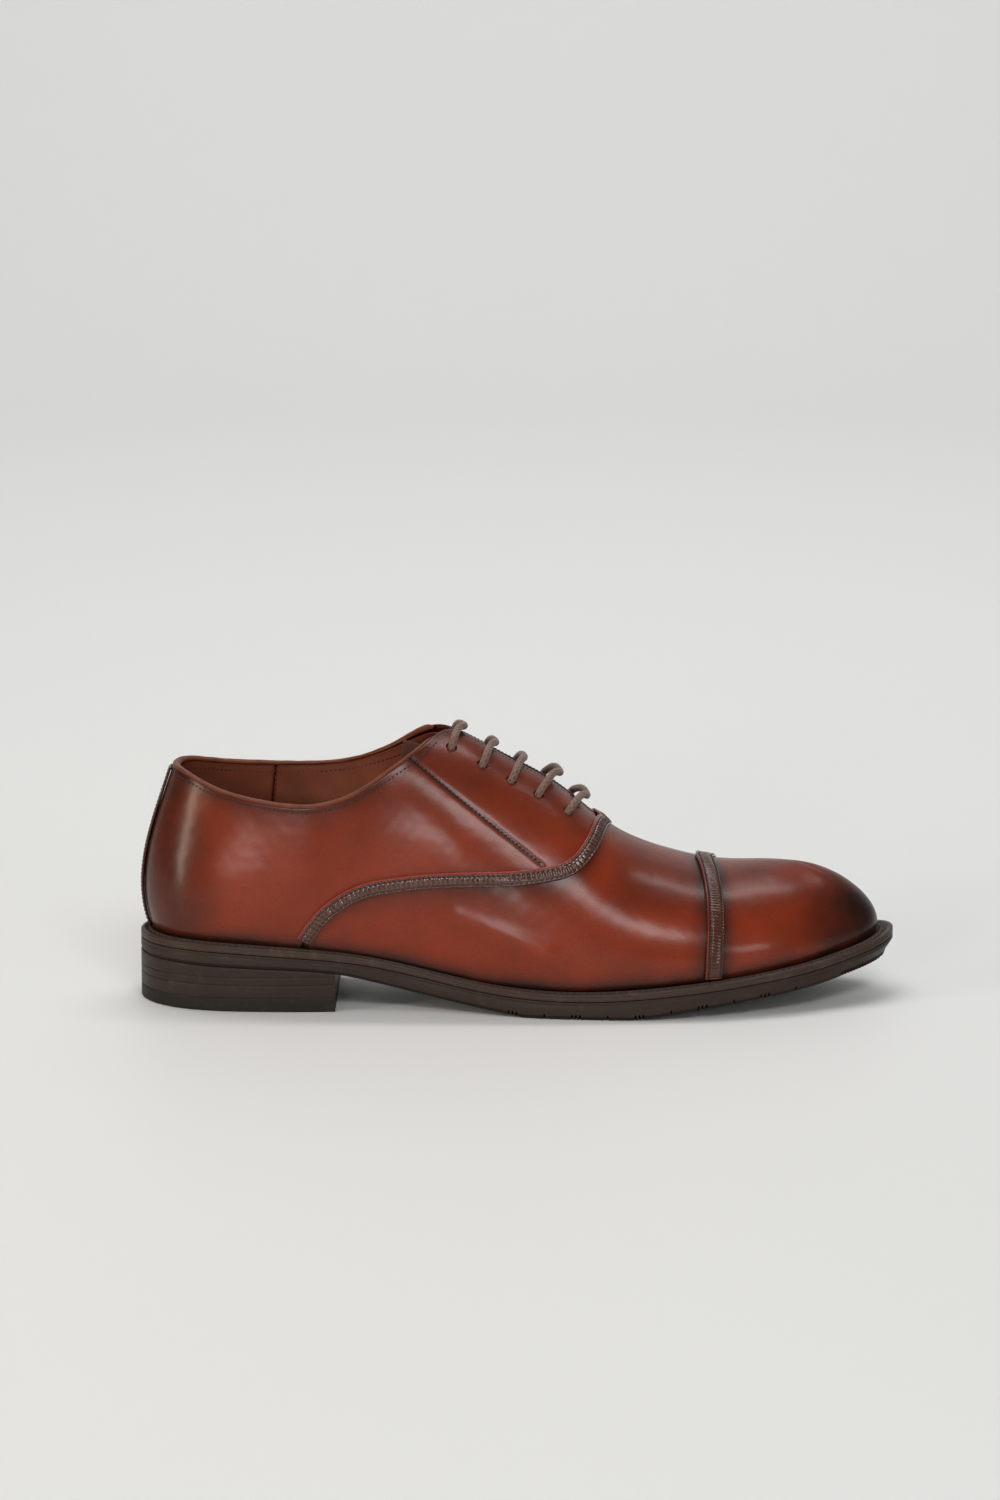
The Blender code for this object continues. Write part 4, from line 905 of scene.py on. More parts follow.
def outsole_stations():
    """Places along the outsole: plain ones, notches in the edge, and the teeth under the toe."""
    special = []
    lip = NOTCH_HALF + 0.12
    for i, x in enumerate(np.arange(NOTCH_X[0], NOTCH_X[1], NOTCH_STEP)):
        for centre in ([x] if i % 2 else [x - NOTCH_GAP, x, x + NOTCH_GAP]):
            for dx, deep in ((-lip, 0), (-NOTCH_HALF, 1), (NOTCH_HALF, 1), (lip, 0)):
                special.append((float(w_at_x(centre + dx)), NOTCH_DEEP * deep, 1.1 * deep))
    for x in np.arange(TEETH_X[0], TEETH_X[1], TEETH_PITCH):
        for dx, deep in ((0.0, 0), (0.40, 0), (0.52, 1), (1.20, 1)):
            special.append((float(w_at_x(x + dx)), 0.9 * deep, 0.8 * deep))
    special_w = np.array([s[0] for s in special])
    plain = [(w, 0, 0) for w in sole_stations() if np.min(np.abs(special_w - w)) > 0.0012
             and not w_at_x(TEETH_X[0]) < w < w_at_x(TEETH_X[1])]
    return np.array(sorted(plain + special), float).T


def build_outsole():
    places, notch, tread = outsole_stations()
    wall_slab("outsole", places, sole_line, OUTSOLE_LEVELS, outsole_high, outsole_low, SOLE,
              "bend", lanes=22, notch=notch, tread=tread, undercut=toe_undercut)


LAYER_CLOSE = 0.24  # the layers are pressed together, so that only a hairline shows


def layer_levels(thick):
    """Side of one heel layer: softly rounded edges, with a fine groove under its top."""
    return [(True, -LAYER_CLOSE, -0.22, 0), (True, 0.0, -0.06, 0), (True, 0.25, 0.0, 0),
            (True, thick * 0.3, 0.03, 0), (True, thick * 0.5, 0.0, 0), (False, thick * 0.3, 0.03, 0),
            (False, 0.25, 0.0, 0), (False, 0.0, -0.08, 0)]


def level_face(height):
    """A face of the heel at one height, as a function of x."""
    def height_at(x):
        return np.full_like(x, height)
    return height_at


def under_outsole(x):
    return outsole_low(x) - GAP


def build_heel():
    stations = sole_stations()
    breast = feather_w(HEEL_BREAST_X)
    places = np.append(stations[stations < breast - 0.002], breast)
    top_piece, lower, middle = HEEL_LAYER_TOPS
    layers = (("heel_top_piece", level_face(top_piece), level_face(0.0), TOP_PIECE, "heel_rubber", 5.2),
              ("heel_lift_1", level_face(lower), level_face(top_piece + GAP), LIFT, "sole_leather", 5.0),
              ("heel_lift_2", level_face(middle), level_face(lower + GAP), LIFT, "sole_leather", 3.0),
              ("heel_lift_3", under_outsole, level_face(middle + GAP), LIFT, "sole_leather", 3.0))
    for name, high, low, finish, slot, thick in layers:
        wall_slab(name, places, sole_line, layer_levels(thick), high, low, finish)


def insole_line(w, out):
    return plan_point(w, INSOLE_INSET + out)


def above_welt(rise):
    """A face this far above the top of the welt, as a function of x."""
    def height_at(x):
        return welt_top(x) + rise
    return height_at


def build_inner_soles():
    levels = [(True, 0.0, -0.4, 0), (True, 0.15, 0.0, 0), (False, 0.15, 0.0, 0), (False, 0.0, -0.3, 0)]
    places = sole_stations()
    sock_low = INSOLE_THICK + GAP
    cork_back = feather_w(CORK_BACK_X)
    cork = np.append(cork_back, places[places > cork_back + 0.001])
    wall_slab("insole", places, insole_line, levels, above_welt(INSOLE_THICK), above_welt(0.0), INSOLE_BOARD,
              "bend")
    wall_slab("sock_liner", places, insole_line, levels, above_welt(sock_low + SOCK_THICK),
              above_welt(sock_low), LINING, "bend", lanes=20)
    wall_slab("cork_filler", cork, insole_line, levels, above_welt(-GAP), above_welt(-WELT_THICK), CORK_FILL,
              "bend")


# ---------------------------------------------------------------- welt

# Cross-section of the welt: heights of its inner side, its top (out from the feather line, height) with a
# bead and a groove, and its outer edge (out from the sole margin, height)
WELT_INSIDE = [-2.9, 0.0]
WELT_ACROSS = [(-1.2, 0.0), (0.2, 0.02), (0.7, 0.10), (1.0, 0.55), (1.35, 0.62), (1.7, 0.30), (2.0, -0.28),
               (2.4, -0.30), (2.7, 0.05), (3.1, 0.22), (3.5, 0.18)]
WELT_EDGE = [(-0.38, -0.12), (-0.06, -0.5), (0.0, -1.0), (-0.16, -1.35), (0.0, -1.7), (-0.02, -2.5),
             (-0.12, -2.85), (-0.45, -2.98)]
WELT_MARGIN = 4.6  # the sole margin that the cross-section is drawn for
WELT_GROOVE = 2.2  # out from the feather line, where the stitches lie
# lanes darkened as painted shade: the gap and the bead's inner flank beside the upper, and the stitch groove
WELT_BEAD_LANES, WELT_GROOVE_LANES = slice(4, 6), slice(8, 10)
WELT_CLEAR = 0.12  # below the CAD's own top face, so that the bead stays under the upper


def build_welt():
    total = DENSE_LENGTH[-1]
    half = w_at_length(np.linspace(0, total, 900))
    ring_w = np.concatenate([-half[:0:-1], half[:-1]])
    margin = sole_margin(last_loop(ring_w)[:, 0])
    arc = np.interp(np.abs(ring_w), DENSE_W, DENSE_LENGTH) * np.sign(ring_w)
    serration = 0.10 * np.cos(arc * 2 * math.pi / 1.25)
    heel = smooth((0.10 - np.abs(ring_w)) / 0.04)
    lanes = [(np.full_like(margin, WELT_INNER), rise, 0.0) for rise in WELT_INSIDE]
    for place, rise in WELT_ACROSS:
        out = margin * (place / WELT_MARGIN) if place > 0 else np.full_like(margin, place)
        lanes.append((out, rise, 1.0 if 0.6 < place < 3.3 else 0.3))
    lanes += [(margin + out, rise, 0.35) for out, rise in WELT_EDGE]
    rings = []
    for out, rise, rough in lanes:
        plan = plan_point(ring_w, out)
        knurl = heel * 0.16 * np.sign(np.cos(arc * 2 * math.pi / 1.9)) * (1.0 if rough > 0.5 else 0.0)
        lift = rise * (0.8 if rise > 0 else 1.0)
        z = welt_top(plan[:, 0]) + lift - WELT_CLEAR * (rise > -2.9)
        rings.append(np.column_stack([plan, z + rough * serration * (rise > -0.4) + knurl]))
    loops = np.stack(rings, 1)
    n, m = loops.shape[:2]
    # painted shade: the gap beside the upper with the bead's inner flank, and the stitch groove, are darkened
    tone = np.zeros((n, m))
    tone[:, WELT_BEAD_LANES] = 0.35
    tone[:, WELT_GROOVE_LANES] = 0.75
    make_piece("welt", loops, loop_quads(n, m, ring_closed=True), tone, WELT_LEATHER,
               ["welt"], "bend")
    half = w_at_length(np.linspace(0, total, 700))
    groove_w = np.concatenate([-half[:0:-1], half])
    groove = plan_point(groove_w, sole_margin(last_loop(groove_w)[:, 0]) * (WELT_GROOVE / WELT_MARGIN))
    path = np.column_stack([groove, welt_top(groove[:, 0]) - 0.34])
    keep = np.abs(groove_w) > 0.04
    up = np.tile([0.0, 0.0, 1.0], (len(path), 1))
    rows = [stitch_points(path[part], up[part], 2.6, 2.0, radius=0.36, rise=0.16, slant=4)
            for part in (keep & (groove_w > 0), keep & (groove_w < 0))]
    make_stitches("welt_stitches", rows, WELT_THREAD, "bend")


# ---------------------------------------------------------------- strips: throat band and toe cap trim

STRIP_LANES = [1.0, 0.985, 0.94, 0.86, 0.76, 0.67, 0.58, 0.46, 0.3, 0.1]  # from an edge to the middle


def make_strip(name, points, normals, half, pitch, stitch, row_at, pucker, body, finish):
    """A folded strip sewn down by two rows of stitches, its middle puckered between the stitches."""
    length = length_along(points)
    at = np.linspace(0, length[-1], int(length[-1] / (pitch / 6)))
    points, normals = read_along(at, length, points), unit(read_along(at, length, normals))
    across = unit(np.cross(normals, unit(np.gradient(points, axis=0))))
    lanes = half * np.append(np.negative(STRIP_LANES), STRIP_LANES[::-1])
    edge = rolled(half - np.abs(lanes), 0.5)
    sunk = sum(0.30 * np.exp(-((lanes - row) / 0.34) ** 2) for row in row_at)
    between = np.exp(-(lanes / (half * 0.48)) ** 4)
    turn = (at * 2 * math.pi)[:, None]
    wave = np.cos(turn / pitch) + 0.35 * np.cos(turn / (pitch * 2.7) + 1)
    height = TRIM_DEPTH - edge - sunk + pucker * between * wave + 0.12 * between - 0.08
    beside = sum(np.exp(-((lanes - row) / 0.5) ** 2) for row in row_at)
    height = height + 0.10 * beside * wave
    top = points[:, None, :] + lanes[None, :, None] * across[:, None, :] \
        + height[..., None] * normals[:, None, :]
    under = np.linspace(half * 0.98, -half * 0.98, 4)
    bottom = points[:, None, :] + under[None, :, None] * across[:, None, :] \
        + (TRIM_DEPTH - TRIM_THICK) * normals[:, None, :]
    loops = np.concatenate([top, bottom], 1)
    # painted shade: darker beside the sunk stitch rows and in the grooves between the puckers; the crests
    # keep the light colour
    tone = np.zeros(loops.shape[:2])
    tone[:, :len(lanes)] = np.clip(0.45 * beside + 0.8 * between * (0.4 - 0.5 * wave), 0, 1)
    faces = tube_faces(*loops.shape[:2])
    make_piece(name, loops, faces, tone, finish, [name], body, crease=70)
    rows = []
    for row in row_at:
        path = points + row * across + (TRIM_DEPTH - 0.34) * normals
        rows.append(stitch_points(path, normals, pitch, stitch, radius=0.25, slant=14, rise=0.16))
    make_stitches(f"{name}_stitches", rows, SEAM_THREAD, body)
    return points, normals, across


def softened(values, reach):
    """A moving average that rounds a kink and keeps both ends."""
    window = np.hanning(2 * reach + 1)
    padded = np.pad(values, reach, mode="edge")
    return np.convolve(padded, window / window.sum(), "valid")


def make_bead(name, path, radius, finish, body, tone=0.0):
    """A thin rounded fold along a path."""
    along = unit(np.gradient(path, axis=0))
    side = unit(np.cross(along, [0.31, 0.52, 0.79]))
    angle = np.linspace(0, 2 * math.pi, 11)[:-1]
    radius = radius * (1 + 0.05 * ripple(path, 6.0, 12))
    loops = round_loops(path, radius[:, None], side, np.cross(side, along), angle)
    faces = tube_faces(*loops.shape[:2])
    make_piece(name, loops, faces, tone, finish, body=body, crease=80)


def build_strips():
    s = np.linspace(0.022, 1, 260)
    parts = []
    for side in (1, -1):
        curve_w, curve_t = SEAMS[side]
        w, t = curve_w(s), np.clip(curve_t(s), 0, 1)
        parts.append((skin(w, t), normal(w, t)))
    points = np.concatenate([parts[0][0], parts[1][0][-2::-1]])
    normals = np.concatenate([parts[0][1], parts[1][1][-2::-1]])
    points, normals, across = make_strip("throat_band", points, normals, BAND_HALF, BAND_PITCH,
                                         BAND_STITCH, (-BAND_ROWS, BAND_ROWS), 0.20, "rear", BAND)
    fold = points + (BAND_HALF + 0.28) * across + (TRIM_DEPTH - 0.62) * normals
    make_bead("quarter_folded_edge", fold[::3], EDGE_BEAD_R, BEAD, "rear")

    t = np.linspace(0.02, 1, 200)
    outer, inner = (find_w(cap_line(t), t, side) for side in (1, -1))
    points = np.concatenate([skin(outer, t), skin(inner, t)[-2::-1]])
    normals = np.concatenate([normal(outer, t), normal(inner, t)[-2::-1]])
    points[:, 0] = softened(points[:, 0], 9)
    points, normals, across = make_strip("toe_cap_trim", points, normals, TRIM_HALF, TRIM_PITCH, TRIM_STITCH,
                                         (-TRIM_HALF + 0.75, TRIM_HALF - 1.35), 0.07, "forefoot", TRIM)
    fold = points + (TRIM_HALF - 0.35) * across + (TRIM_DEPTH - 0.15) * normals
    make_bead("toe_cap_trim_edge", fold[::3], 0.42, BEAD, "forefoot", 0.65)


# ---------------------------------------------------------------- outer leather

def facing_edge(w):
    share = smooth((np.abs(w) - PLACES[FACING_TOP]) / 0.02)
    return 1.0 - (1.0 - FACING_EDGE_T) * share


def facing_line(side, count=120):
    """The dark stitch line from just under the top line down to the throat band, as w and t."""
    height = FACING_LINE_TOP - FACING_LINE_DROP * np.linspace(0, 1, count)
    return locate(np.linspace(*FACING_LINE_X, count), height, 2, side)


def column_places(start, end, at_t=0.5, pitch=PITCH, fine=("first", "last")):
    """Values of |w| spaced evenly along the surface, with fine steps at its real edges."""
    dense = np.linspace(start, end, 400)
    length = length_along(base(dense, at_t))
    share = graded(length[-1], pitch) if fine else even(length[-1], pitch)
    return np.interp(share * length[-1], length, dense)


def nearest(points, path):
    """Distance from each point of a grid to a path."""
    flat = points.reshape(-1, 3)
    found = np.full(len(flat), 99.0)
    for start in range(0, len(flat), 4000):
        some = flat[start:start + 4000]
        found[start:start + 4000] = np.linalg.norm(some[:, None, :] - path[None], axis=2).min(1)
    return found.reshape(points.shape[:2])


def cut_holes(obj, holes):
    """Round holes through a sheet, made once and kept in its mesh."""
    bm = bmesh.new()
    radius = EYELET_HOLE_R * MM
    for low, high in holes:
        low, high = Vector(low) * MM, Vector(high) * MM
        turn = (high - low).to_track_quat("Z", "Y").to_matrix().to_4x4()
        turn.translation = (low + high) / 2
        bmesh.ops.create_cone(bm, cap_ends=True, segments=20, radius1=radius, radius2=radius,
                              depth=(high - low).length, matrix=turn)
    mesh = bpy.data.meshes.new("hole_cutter")
    bm.to_mesh(mesh)
    bm.free()
    cutter = bpy.data.objects.new("hole_cutter", mesh)
    bpy.context.scene.collection.objects.link(cutter)
    boolean = obj.modifiers.new("holes", "BOOLEAN")
    boolean.operation = "DIFFERENCE"
    boolean.solver = "EXACT"
    boolean.object = cutter
    graph = bpy.context.evaluated_depsgraph_get()
    made = bpy.data.meshes.new_from_object(obj.evaluated_get(graph), depsgraph=graph)
    obj.modifiers.clear()
    obj.data = made
    bpy.data.objects.remove(cutter)


def eyelet_places(side):
    w, t = locate(EYELET_X, EYELET_Y, 1, side)
    return list(zip(w.tolist(), t.tolist()))


def hole_ends(side):
    """Both ends of each eyelet's hole, inside and outside all the layers."""
    return [(skin(w, t, -8.0).tolist(), skin(w, t, 4.0).tolist()) for w, t in EYELETS[side]]


EYELETS = {side: eyelet_places(side) for side in (1, -1)}
HOLES = {side: hole_ends(side) for side in (1, -1)}
FACING = {side: facing_line(side) for side in (1, -1)}


def build_quarters():
    for side, name in ((1, "quarter_lateral"), (-1, "quarter_medial")):
        s = np.linspace(0, 1, 201)
        seam_w = SEAMS[side][0]
        foot = np.abs(seam_w(0.0))
        end = float(np.interp(0.935, s, np.abs(seam_w(s))))
        ws = side * column_places(BACK_GAP_W, end, 0.8)
        low = np.where(np.abs(ws) > foot - SEAM_SHIFT_W, seam_t(ws, side, SEAM_SHIFT_W, SEAM_SHIFT_T), 0.0)
        high = facing_edge(ws)
        share = graded(SIDE_HEIGHT)
        t = low[:, None] + (high - low)[:, None] * share[None, :]
        w = np.broadcast_to(ws[:, None], t.shape)
        points, distance = leather_surface(w, t, open_sides=("high",), seed=11 if side > 0 else 17)
        from_line = nearest(points, skin(*FACING[side]))
        points = points - (0.38 * np.exp(-(from_line / 0.85) ** 2))[..., None] * normal(w, t)
        tone = shaded(burnish_and_painted_shade(points), distance, 7.0, 0.60)
        to_band = (t - low[:, None]) * SIDE_HEIGHT + 60 * (np.abs(ws) < foot)[:, None]
        tone = shaded(tone, to_band, 3.5, 0.35)
        # painted shade along the sunk groove of the facing's stitch line
        tone = shaded(tone, from_line, 1.3, 0.80)
        grid, tone = ordered(side, points, tone)
        obj = make_sheet(name, [(grid, tone)], UPPER_THICK, UPPER)
        cut_holes(obj, HOLES[side])
        stitch_seams(side, name)


def stitch_seams(side, name):
    """The facing's stitch lines: one across the quarter and one beside the lacing edge."""
    w, t = FACING[side]
    path, up = skin(w, t, -0.16), normal(w, t)
    x = np.linspace(-24.0, 26.0, 140)
    edge_w = find_w(x, 0.95, side)
    edge_t = facing_edge(edge_w) - 1.9 / 60.0
    near_edge = skin(edge_w, edge_t, 0.0), normal(edge_w, edge_t)
    rows = [stitch_points(path, up, 1.9, 1.65, radius=0.34, rise=0.12, slant=6),
            stitch_points(*near_edge, 1.6, 1.25, radius=0.22, rise=-0.02)]
    make_stitches(f"{name}_stitches", rows, SEAM_THREAD)
    ws = side * np.linspace(0.018, PLACES[FACING_TOP] - 0.033, 260)
    top = stitch_points(skin(ws, 0.968, 0.0), normal(ws, np.full_like(ws, 0.968)), 1.9, 1.4, radius=0.30,
                        rise=0.05)
    inside = stitch_points(skin(ws, 0.952, lining_depth(ws, 0.952) - LINING_THICK),
                           -normal(ws, np.full_like(ws, 0.95)), 1.9, 1.4, radius=0.30, rise=0.05)
    make_stitches(f"{name}_topline_stitches", [top, inside], SEAM_THREAD)


def fold_height(points):
    """The soft swell along the side of the vamp, where the leather was drawn over the last."""
    start, end = np.array(VAMP_FOLD[0]), np.array(VAMP_FOLD[1])
    length = np.linalg.norm(end - start)
    ahead = (end - start) / length
    from_start = points[..., [0, 2]] - start
    along = from_start @ ahead
    beside = from_start @ np.array([-ahead[1], ahead[0]])
    ends = smooth((along + 6) / 14) * smooth((length + 6 - along) / 12)
    return FOLD_RISE * np.exp(-(beside / FOLD_HALF) ** 2) * ends


def build_vamp(name, depth, thickness, finish, pitch, uneven):
    """The vamp: two wings under the quarters and a front that runs over the ridge to the toe cap."""
    patches = []
    for side in (1, -1):
        curve_w, _ = SEAMS[side]
        throat = float(np.abs(find_w(THROAT_X + 0.4, 1.0, side)))
        start = float(np.abs(curve_w(0.04)))
        ws = side * column_places(start, throat, 0.3, pitch, fine=())
        high = np.append(seam_t(ws[:-1], side, -SEAM_SHIFT_W, -SEAM_SHIFT_T), 1.0)
        share = even(66.0, pitch)
        t = high[:, None] * share[None, :]
        w = np.broadcast_to(ws[:, None], t.shape)
        seam = (high[:, None] - t) * 66.0
        ends = find_w(cap_line(share) - 0.25, share, side)
        steps = even(48.0, pitch)[:, None]
        front_w = side * throat + (ends[None, :] - side * throat) * steps
        front_t = np.broadcast_to(share[None, :], front_w.shape)
        for w_grid, t_grid, to_seam in ((w, t, seam), (front_w, front_t, None)):
            points, _ = leather_surface(w_grid, t_grid, depth, (), uneven, seed=23)
            points = points + fold_height(points)[..., None] * normal(w_grid, t_grid)
            tone = burnish_and_painted_shade(points)
            if to_seam is not None:
                tone = shaded(tone, to_seam, 6.0, 0.85)
            else:
                away = np.linalg.norm(points - base(side * throat, 1.0), axis=-1)
                tone = shaded(tone, np.maximum(away - 4, 0), 7.0, 0.7)
                to_cap = cap_line(t_grid) - points[..., 0] - TRIM_HALF
                tone = shaded(tone, np.maximum(to_cap, 0), 5.0, 0.75)
            grid, tone = ordered(side, points, tone)
            patches.append((grid, tone))
    make_sheet(name, patches, thickness, finish, "bend")


def build_toe_cap():
    patches = []
    for side in (1, -1):
        t = graded(64.0)[None, :]
        start = find_w(cap_line(t[0]) + 0.25, t[0], side)
        steps = (1 - (1 - even(62.0)) ** 1.25)[:, None]
        w = start[None, :] + (side - start)[None, :] * steps
        t = np.broadcast_to(t, w.shape)
        points, _ = leather_surface(w, t, 0.0, (), 0.035, seed=31)
        to_cap = points[..., 0] - cap_line(t) - TRIM_HALF
        tone = shaded(burnish_and_painted_shade(points), np.maximum(to_cap, 0), 4.0, 0.85)
        grid, tone = ordered(side, points, tone)
        patches.append((grid, tone))
    make_sheet("toe_cap", patches, UPPER_THICK, UPPER, "forefoot")


def build_back_strip():
    ws = np.linspace(-BACK_STRIP_HALF_W, BACK_STRIP_HALF_W, 23)
    t = np.linspace(0.015, 0.985, 90)
    w_grid, t_grid = np.meshgrid(ws, t, indexing="ij")
    every_side = ("first", "last", "low", "high")
    points, distance = leather_surface(w_grid, t_grid, TRIM_DEPTH, every_side, 0.05, seed=41)
    tone = shaded(np.full(points.shape[:2], 0.45), distance, 1.5, 0.6)
    make_sheet("back_strip", [(points, tone)], TRIM_THICK, TRIM)
    rows = []
    for w in (-0.72, 0.72):
        edge = np.full(160, w * BACK_STRIP_HALF_W)
        along = np.linspace(0.03, 0.975, 160)
        path = skin(edge, along, TRIM_DEPTH - 0.02)
        rows.append(stitch_points(path, normal(edge, along), 1.7, 1.3, radius=0.2, rise=0.05))
    make_stitches("back_strip_stitches", rows, SEAM_THREAD)


def build_binding():
    """The rolled edge over the top of the quarters and their linings."""
    end = PLACES[FACING_TOP] - 0.030
    ws = np.linspace(-end, end, 420)
    top = base(ws, np.ones_like(ws))
    out = side_normal(ws, np.ones_like(ws))
    up = unit(top - base(ws, np.full_like(ws, 0.98)))
    turns = np.linspace(0, 2 * math.pi, 19)[:-1]
    pulled = 1 + 0.05 * ripple(top, 7.0, 51)
    length = length_along(top)
    from_end = np.minimum(length, length[-1] - length)
    full = 0.45 + 0.55 * smooth(from_end / 7.0)
    dimple = 0.05 * np.cos((length - length[-1] / 2) * 2 * math.pi / 1.7)
    rings = []
    for a in turns:
        outward = -1.40 + 1.70 * math.cos(a) * full
        upward = 0.40 * full - 0.15 + 1.00 * math.sin(a) * full
        low = max(0.0, -math.sin(a))
        rings.append(top + outward[:, None] * out + (upward * pulled + low * dimple)[:, None] * up)
    loops = np.stack(rings, 1)
    faces = tube_faces(*loops.shape[:2])
    # painted shade: the roll is darker on its underside, where it turns down; the ripple adds uneven tone
    tone = np.clip(0.25 + 0.5 * np.maximum(0, -np.sin(turns))[None, :] + 0.2 * ripple(loops, 9.0, 5), 0, 1)
    make_piece("topline_binding", loops, faces, tone, EDGE, ["topline_binding"], crease=80)


# ---------------------------------------------------------------- linings and tongue

def lining_depth(w, t):
    behind = 1 - smooth((np.abs(w) - PLACES[5]) / (PLACES[7] - PLACES[5]))
    return LINING_DEPTH + 1.5 * smooth((t - 0.72) / 0.2) * behind


def build_linings():
    for side, name in ((1, "lateral"), (-1, "medial")):
        start = float(np.abs(find_w(GRIP_X + 0.3, 0.5, side)))
        rows = graded(60.0, 1.4)
        seam = np.abs(find_w(lining_seam(rows) - LINING_SEAM_GAP, rows, side))[None, :]
        steps = graded(125.0, 1.4)[:, None]
        w = side * (start + (seam - start) * steps)
        t = rows[None, :] * (facing_edge(w) - 0.006)
        points, distance = leather_surface(w, t, lining_depth(w, t), ("first", "high"), 0.14, seed=61)
        tone = shaded(0.25 + 0.2 * ripple(points, 18.0, 7), distance, 2.0, 0.4)
        grid, tone = ordered(side, points, tone)
        lining = make_sheet(f"quarter_lining_{name}", [(grid, tone)], LINING_THICK, LINING)
        cut_holes(lining, HOLES[side])
    grip = float(np.abs(find_w(GRIP_X - 0.3, 0.5, 1)))
    ws = column_places(0, grip, 0.8, 1.3, fine=())
    ws = np.concatenate([-ws[:0:-1], ws])
    t = np.tile(graded(SIDE_HEIGHT, 1.3) * 0.994, (len(ws), 1))
    w = np.broadcast_to(ws[:, None], t.shape)
    points, distance = leather_surface(w, t, lining_depth(w, t), ("high",), 0.12, seed=67)
    tone = shaded(0.3 + 0.2 * ripple(points, 18.0, 9), distance, 2.0, 0.4)
    make_sheet("heel_grip", [(points, tone)], LINING_THICK, LINING)
    rows = []
    for side in (1, -1):
        along = np.linspace(0.12, 0.93, 120)
        w = find_w(np.full(120, GRIP_X + 2.0), along, side)
        path = skin(w, along, lining_depth(w, along) - LINING_THICK + 0.02)
        rows.append(stitch_points(path, -normal(w, along), 2.0, 1.5, radius=0.25, rise=0.05))
    make_stitches("lining_seam_stitches", rows, RED_THREAD)


def build_vamp_lining():
    patches = []
    for side in (1, -1):
        t_rows = even(62.0, 2.0)
        start = find_w(lining_seam(t_rows) + LINING_SEAM_GAP, t_rows, side)
        steps = (1 - (1 - even(120.0, 2.0)) ** 1.3)[:, None]
        w = start[None, :] + (side - start)[None, :] * steps
        t = np.broadcast_to(t_rows[None, :], w.shape)
        points, _ = leather_surface(w, t, LINING_DEPTH, (), 0.10, seed=71)
        grid, tone = ordered(side, points, 0.35 + 0.2 * ripple(points, 20.0, 11))
        patches.append((grid, tone))
    make_sheet("vamp_lining", patches, LINING_THICK, LINING, "bend")


def build_tongue():
    spine, arch, half = (natural_spline(p) for p in (TONGUE_SPINE, TONGUE_ARCH, TONGUE_HALF))
    x = (TONGUE_BACK_X + TONGUE_LENGTH * graded(88.0))[:, None]
    y = (2 * graded(38.0) - 1)[None, :] * half(x)
    for name, depth, thick, finish, slot in (
            ("tongue", 0.0, TONGUE_THICK, TONGUE, "upper_leather"),
            ("tongue_lining", -TONGUE_THICK - 0.4, TONGUE_LINING_THICK, LINING, "lining_leather")):
        z = spine(x) - arch(x) * y ** 2
        slope = spine(x + 0.5) - spine(x - 0.5)
        up = unit(np.stack([-slope + 0 * y, 2 * arch(x) * y, np.ones_like(z)], -1))
        flat = np.stack([x + 0 * y, y, z], -1)
        distance = edge_distance(flat, ("first", "low", "high"))
        height = depth - rolled(distance, 0.5) - 0.10 + 0.10 * ripple(flat, 14.0, 81)
        points = flat + height[..., None] * up
        # dark all over as painted shade down in the throat, and darker near its edges
        tone = shaded(np.full(z.shape, 0.8), distance, 2.0, 0.3)
        make_sheet(name, [(points, tone)], thick, finish, "tongue")
    y_edge = half(x[:, 0]) - 2.0
    rows = []
    for sign in (1, -1):
        y_line = sign * y_edge
        path = np.column_stack([x[:, 0], y_line, spine(x[:, 0]) - arch(x[:, 0]) * y_line ** 2])
        up_line = unit(np.column_stack([0 * y_line, 2 * arch(x[:, 0]) * y_line, np.ones_like(y_line)]))
        rows.append(stitch_points(path, up_line, 1.9, 1.4, radius=0.2, rise=0.0, margin=2.0))
    make_stitches("tongue_stitches", rows, SEAM_THREAD, "tongue")


# ---------------------------------------------------------------- lace

def bar_points(row, first_side):
    """Out of one eyelet, over the ridge and down into the opposite eyelet."""
    points, tops = [], []
    for side, order in ((first_side, 1), (-first_side, -1)):
        w, t = EYELETS[side][row]
        top_w = float(find_w(EYELET_X[row] + LACE_LEAN[row], 1.0, side))
        tops.append(skin(top_w, 1.0, LACE_OVER[row]))
        over = LACE_OVER[row]
        loose = over - LACE_TIGHT
        climb = [(0, LACE_INNER_DEPTH), (0, -4.0), (0, 0.6), (0.10, LACE_TIGHT),
                 (0.38, LACE_TIGHT + 0.3 + 0.6 * loose), (0.74, LACE_TIGHT + 0.3 + 1.1 * loose)]
        half = [skin(w + (top_w - w) * share, t + (1 - t) * share, depth) for share, depth in climb]
        points.append(half if order == 1 else half[::-1])
    peak = (tops[0] + tops[1]) / 2
    return points[0] + [peak] + points[1]


def tail_points(side, row):
    """The spare lace of one side, folded in three flat runs between the lining and the tongue."""
    w0, t0 = EYELETS[side][row]
    points = [skin(w0, t0, LACE_INNER_DEPTH)]
    forward = row == 0
    for run, t in enumerate(TAIL_RUNS_T):
        xs = np.linspace(TAIL_BACK_X, TAIL_FRONT_X, 6)
        if (run % 2 == 0) != forward:
            xs = xs[::-1]
        if run == 0:
            xs = xs[1:]
        if run == len(TAIL_RUNS_T) - 1:
            xs = xs[0] + (xs - xs[0]) * (1 - TAIL_LAST_SHORTER / (TAIL_FRONT_X - TAIL_BACK_X))
            t = t - TAIL_LAST_DIP * np.linspace(0, 1, len(xs)) ** 2
        points += list(skin(find_w(xs, t, side), t, LACE_INNER_DEPTH))
    return points


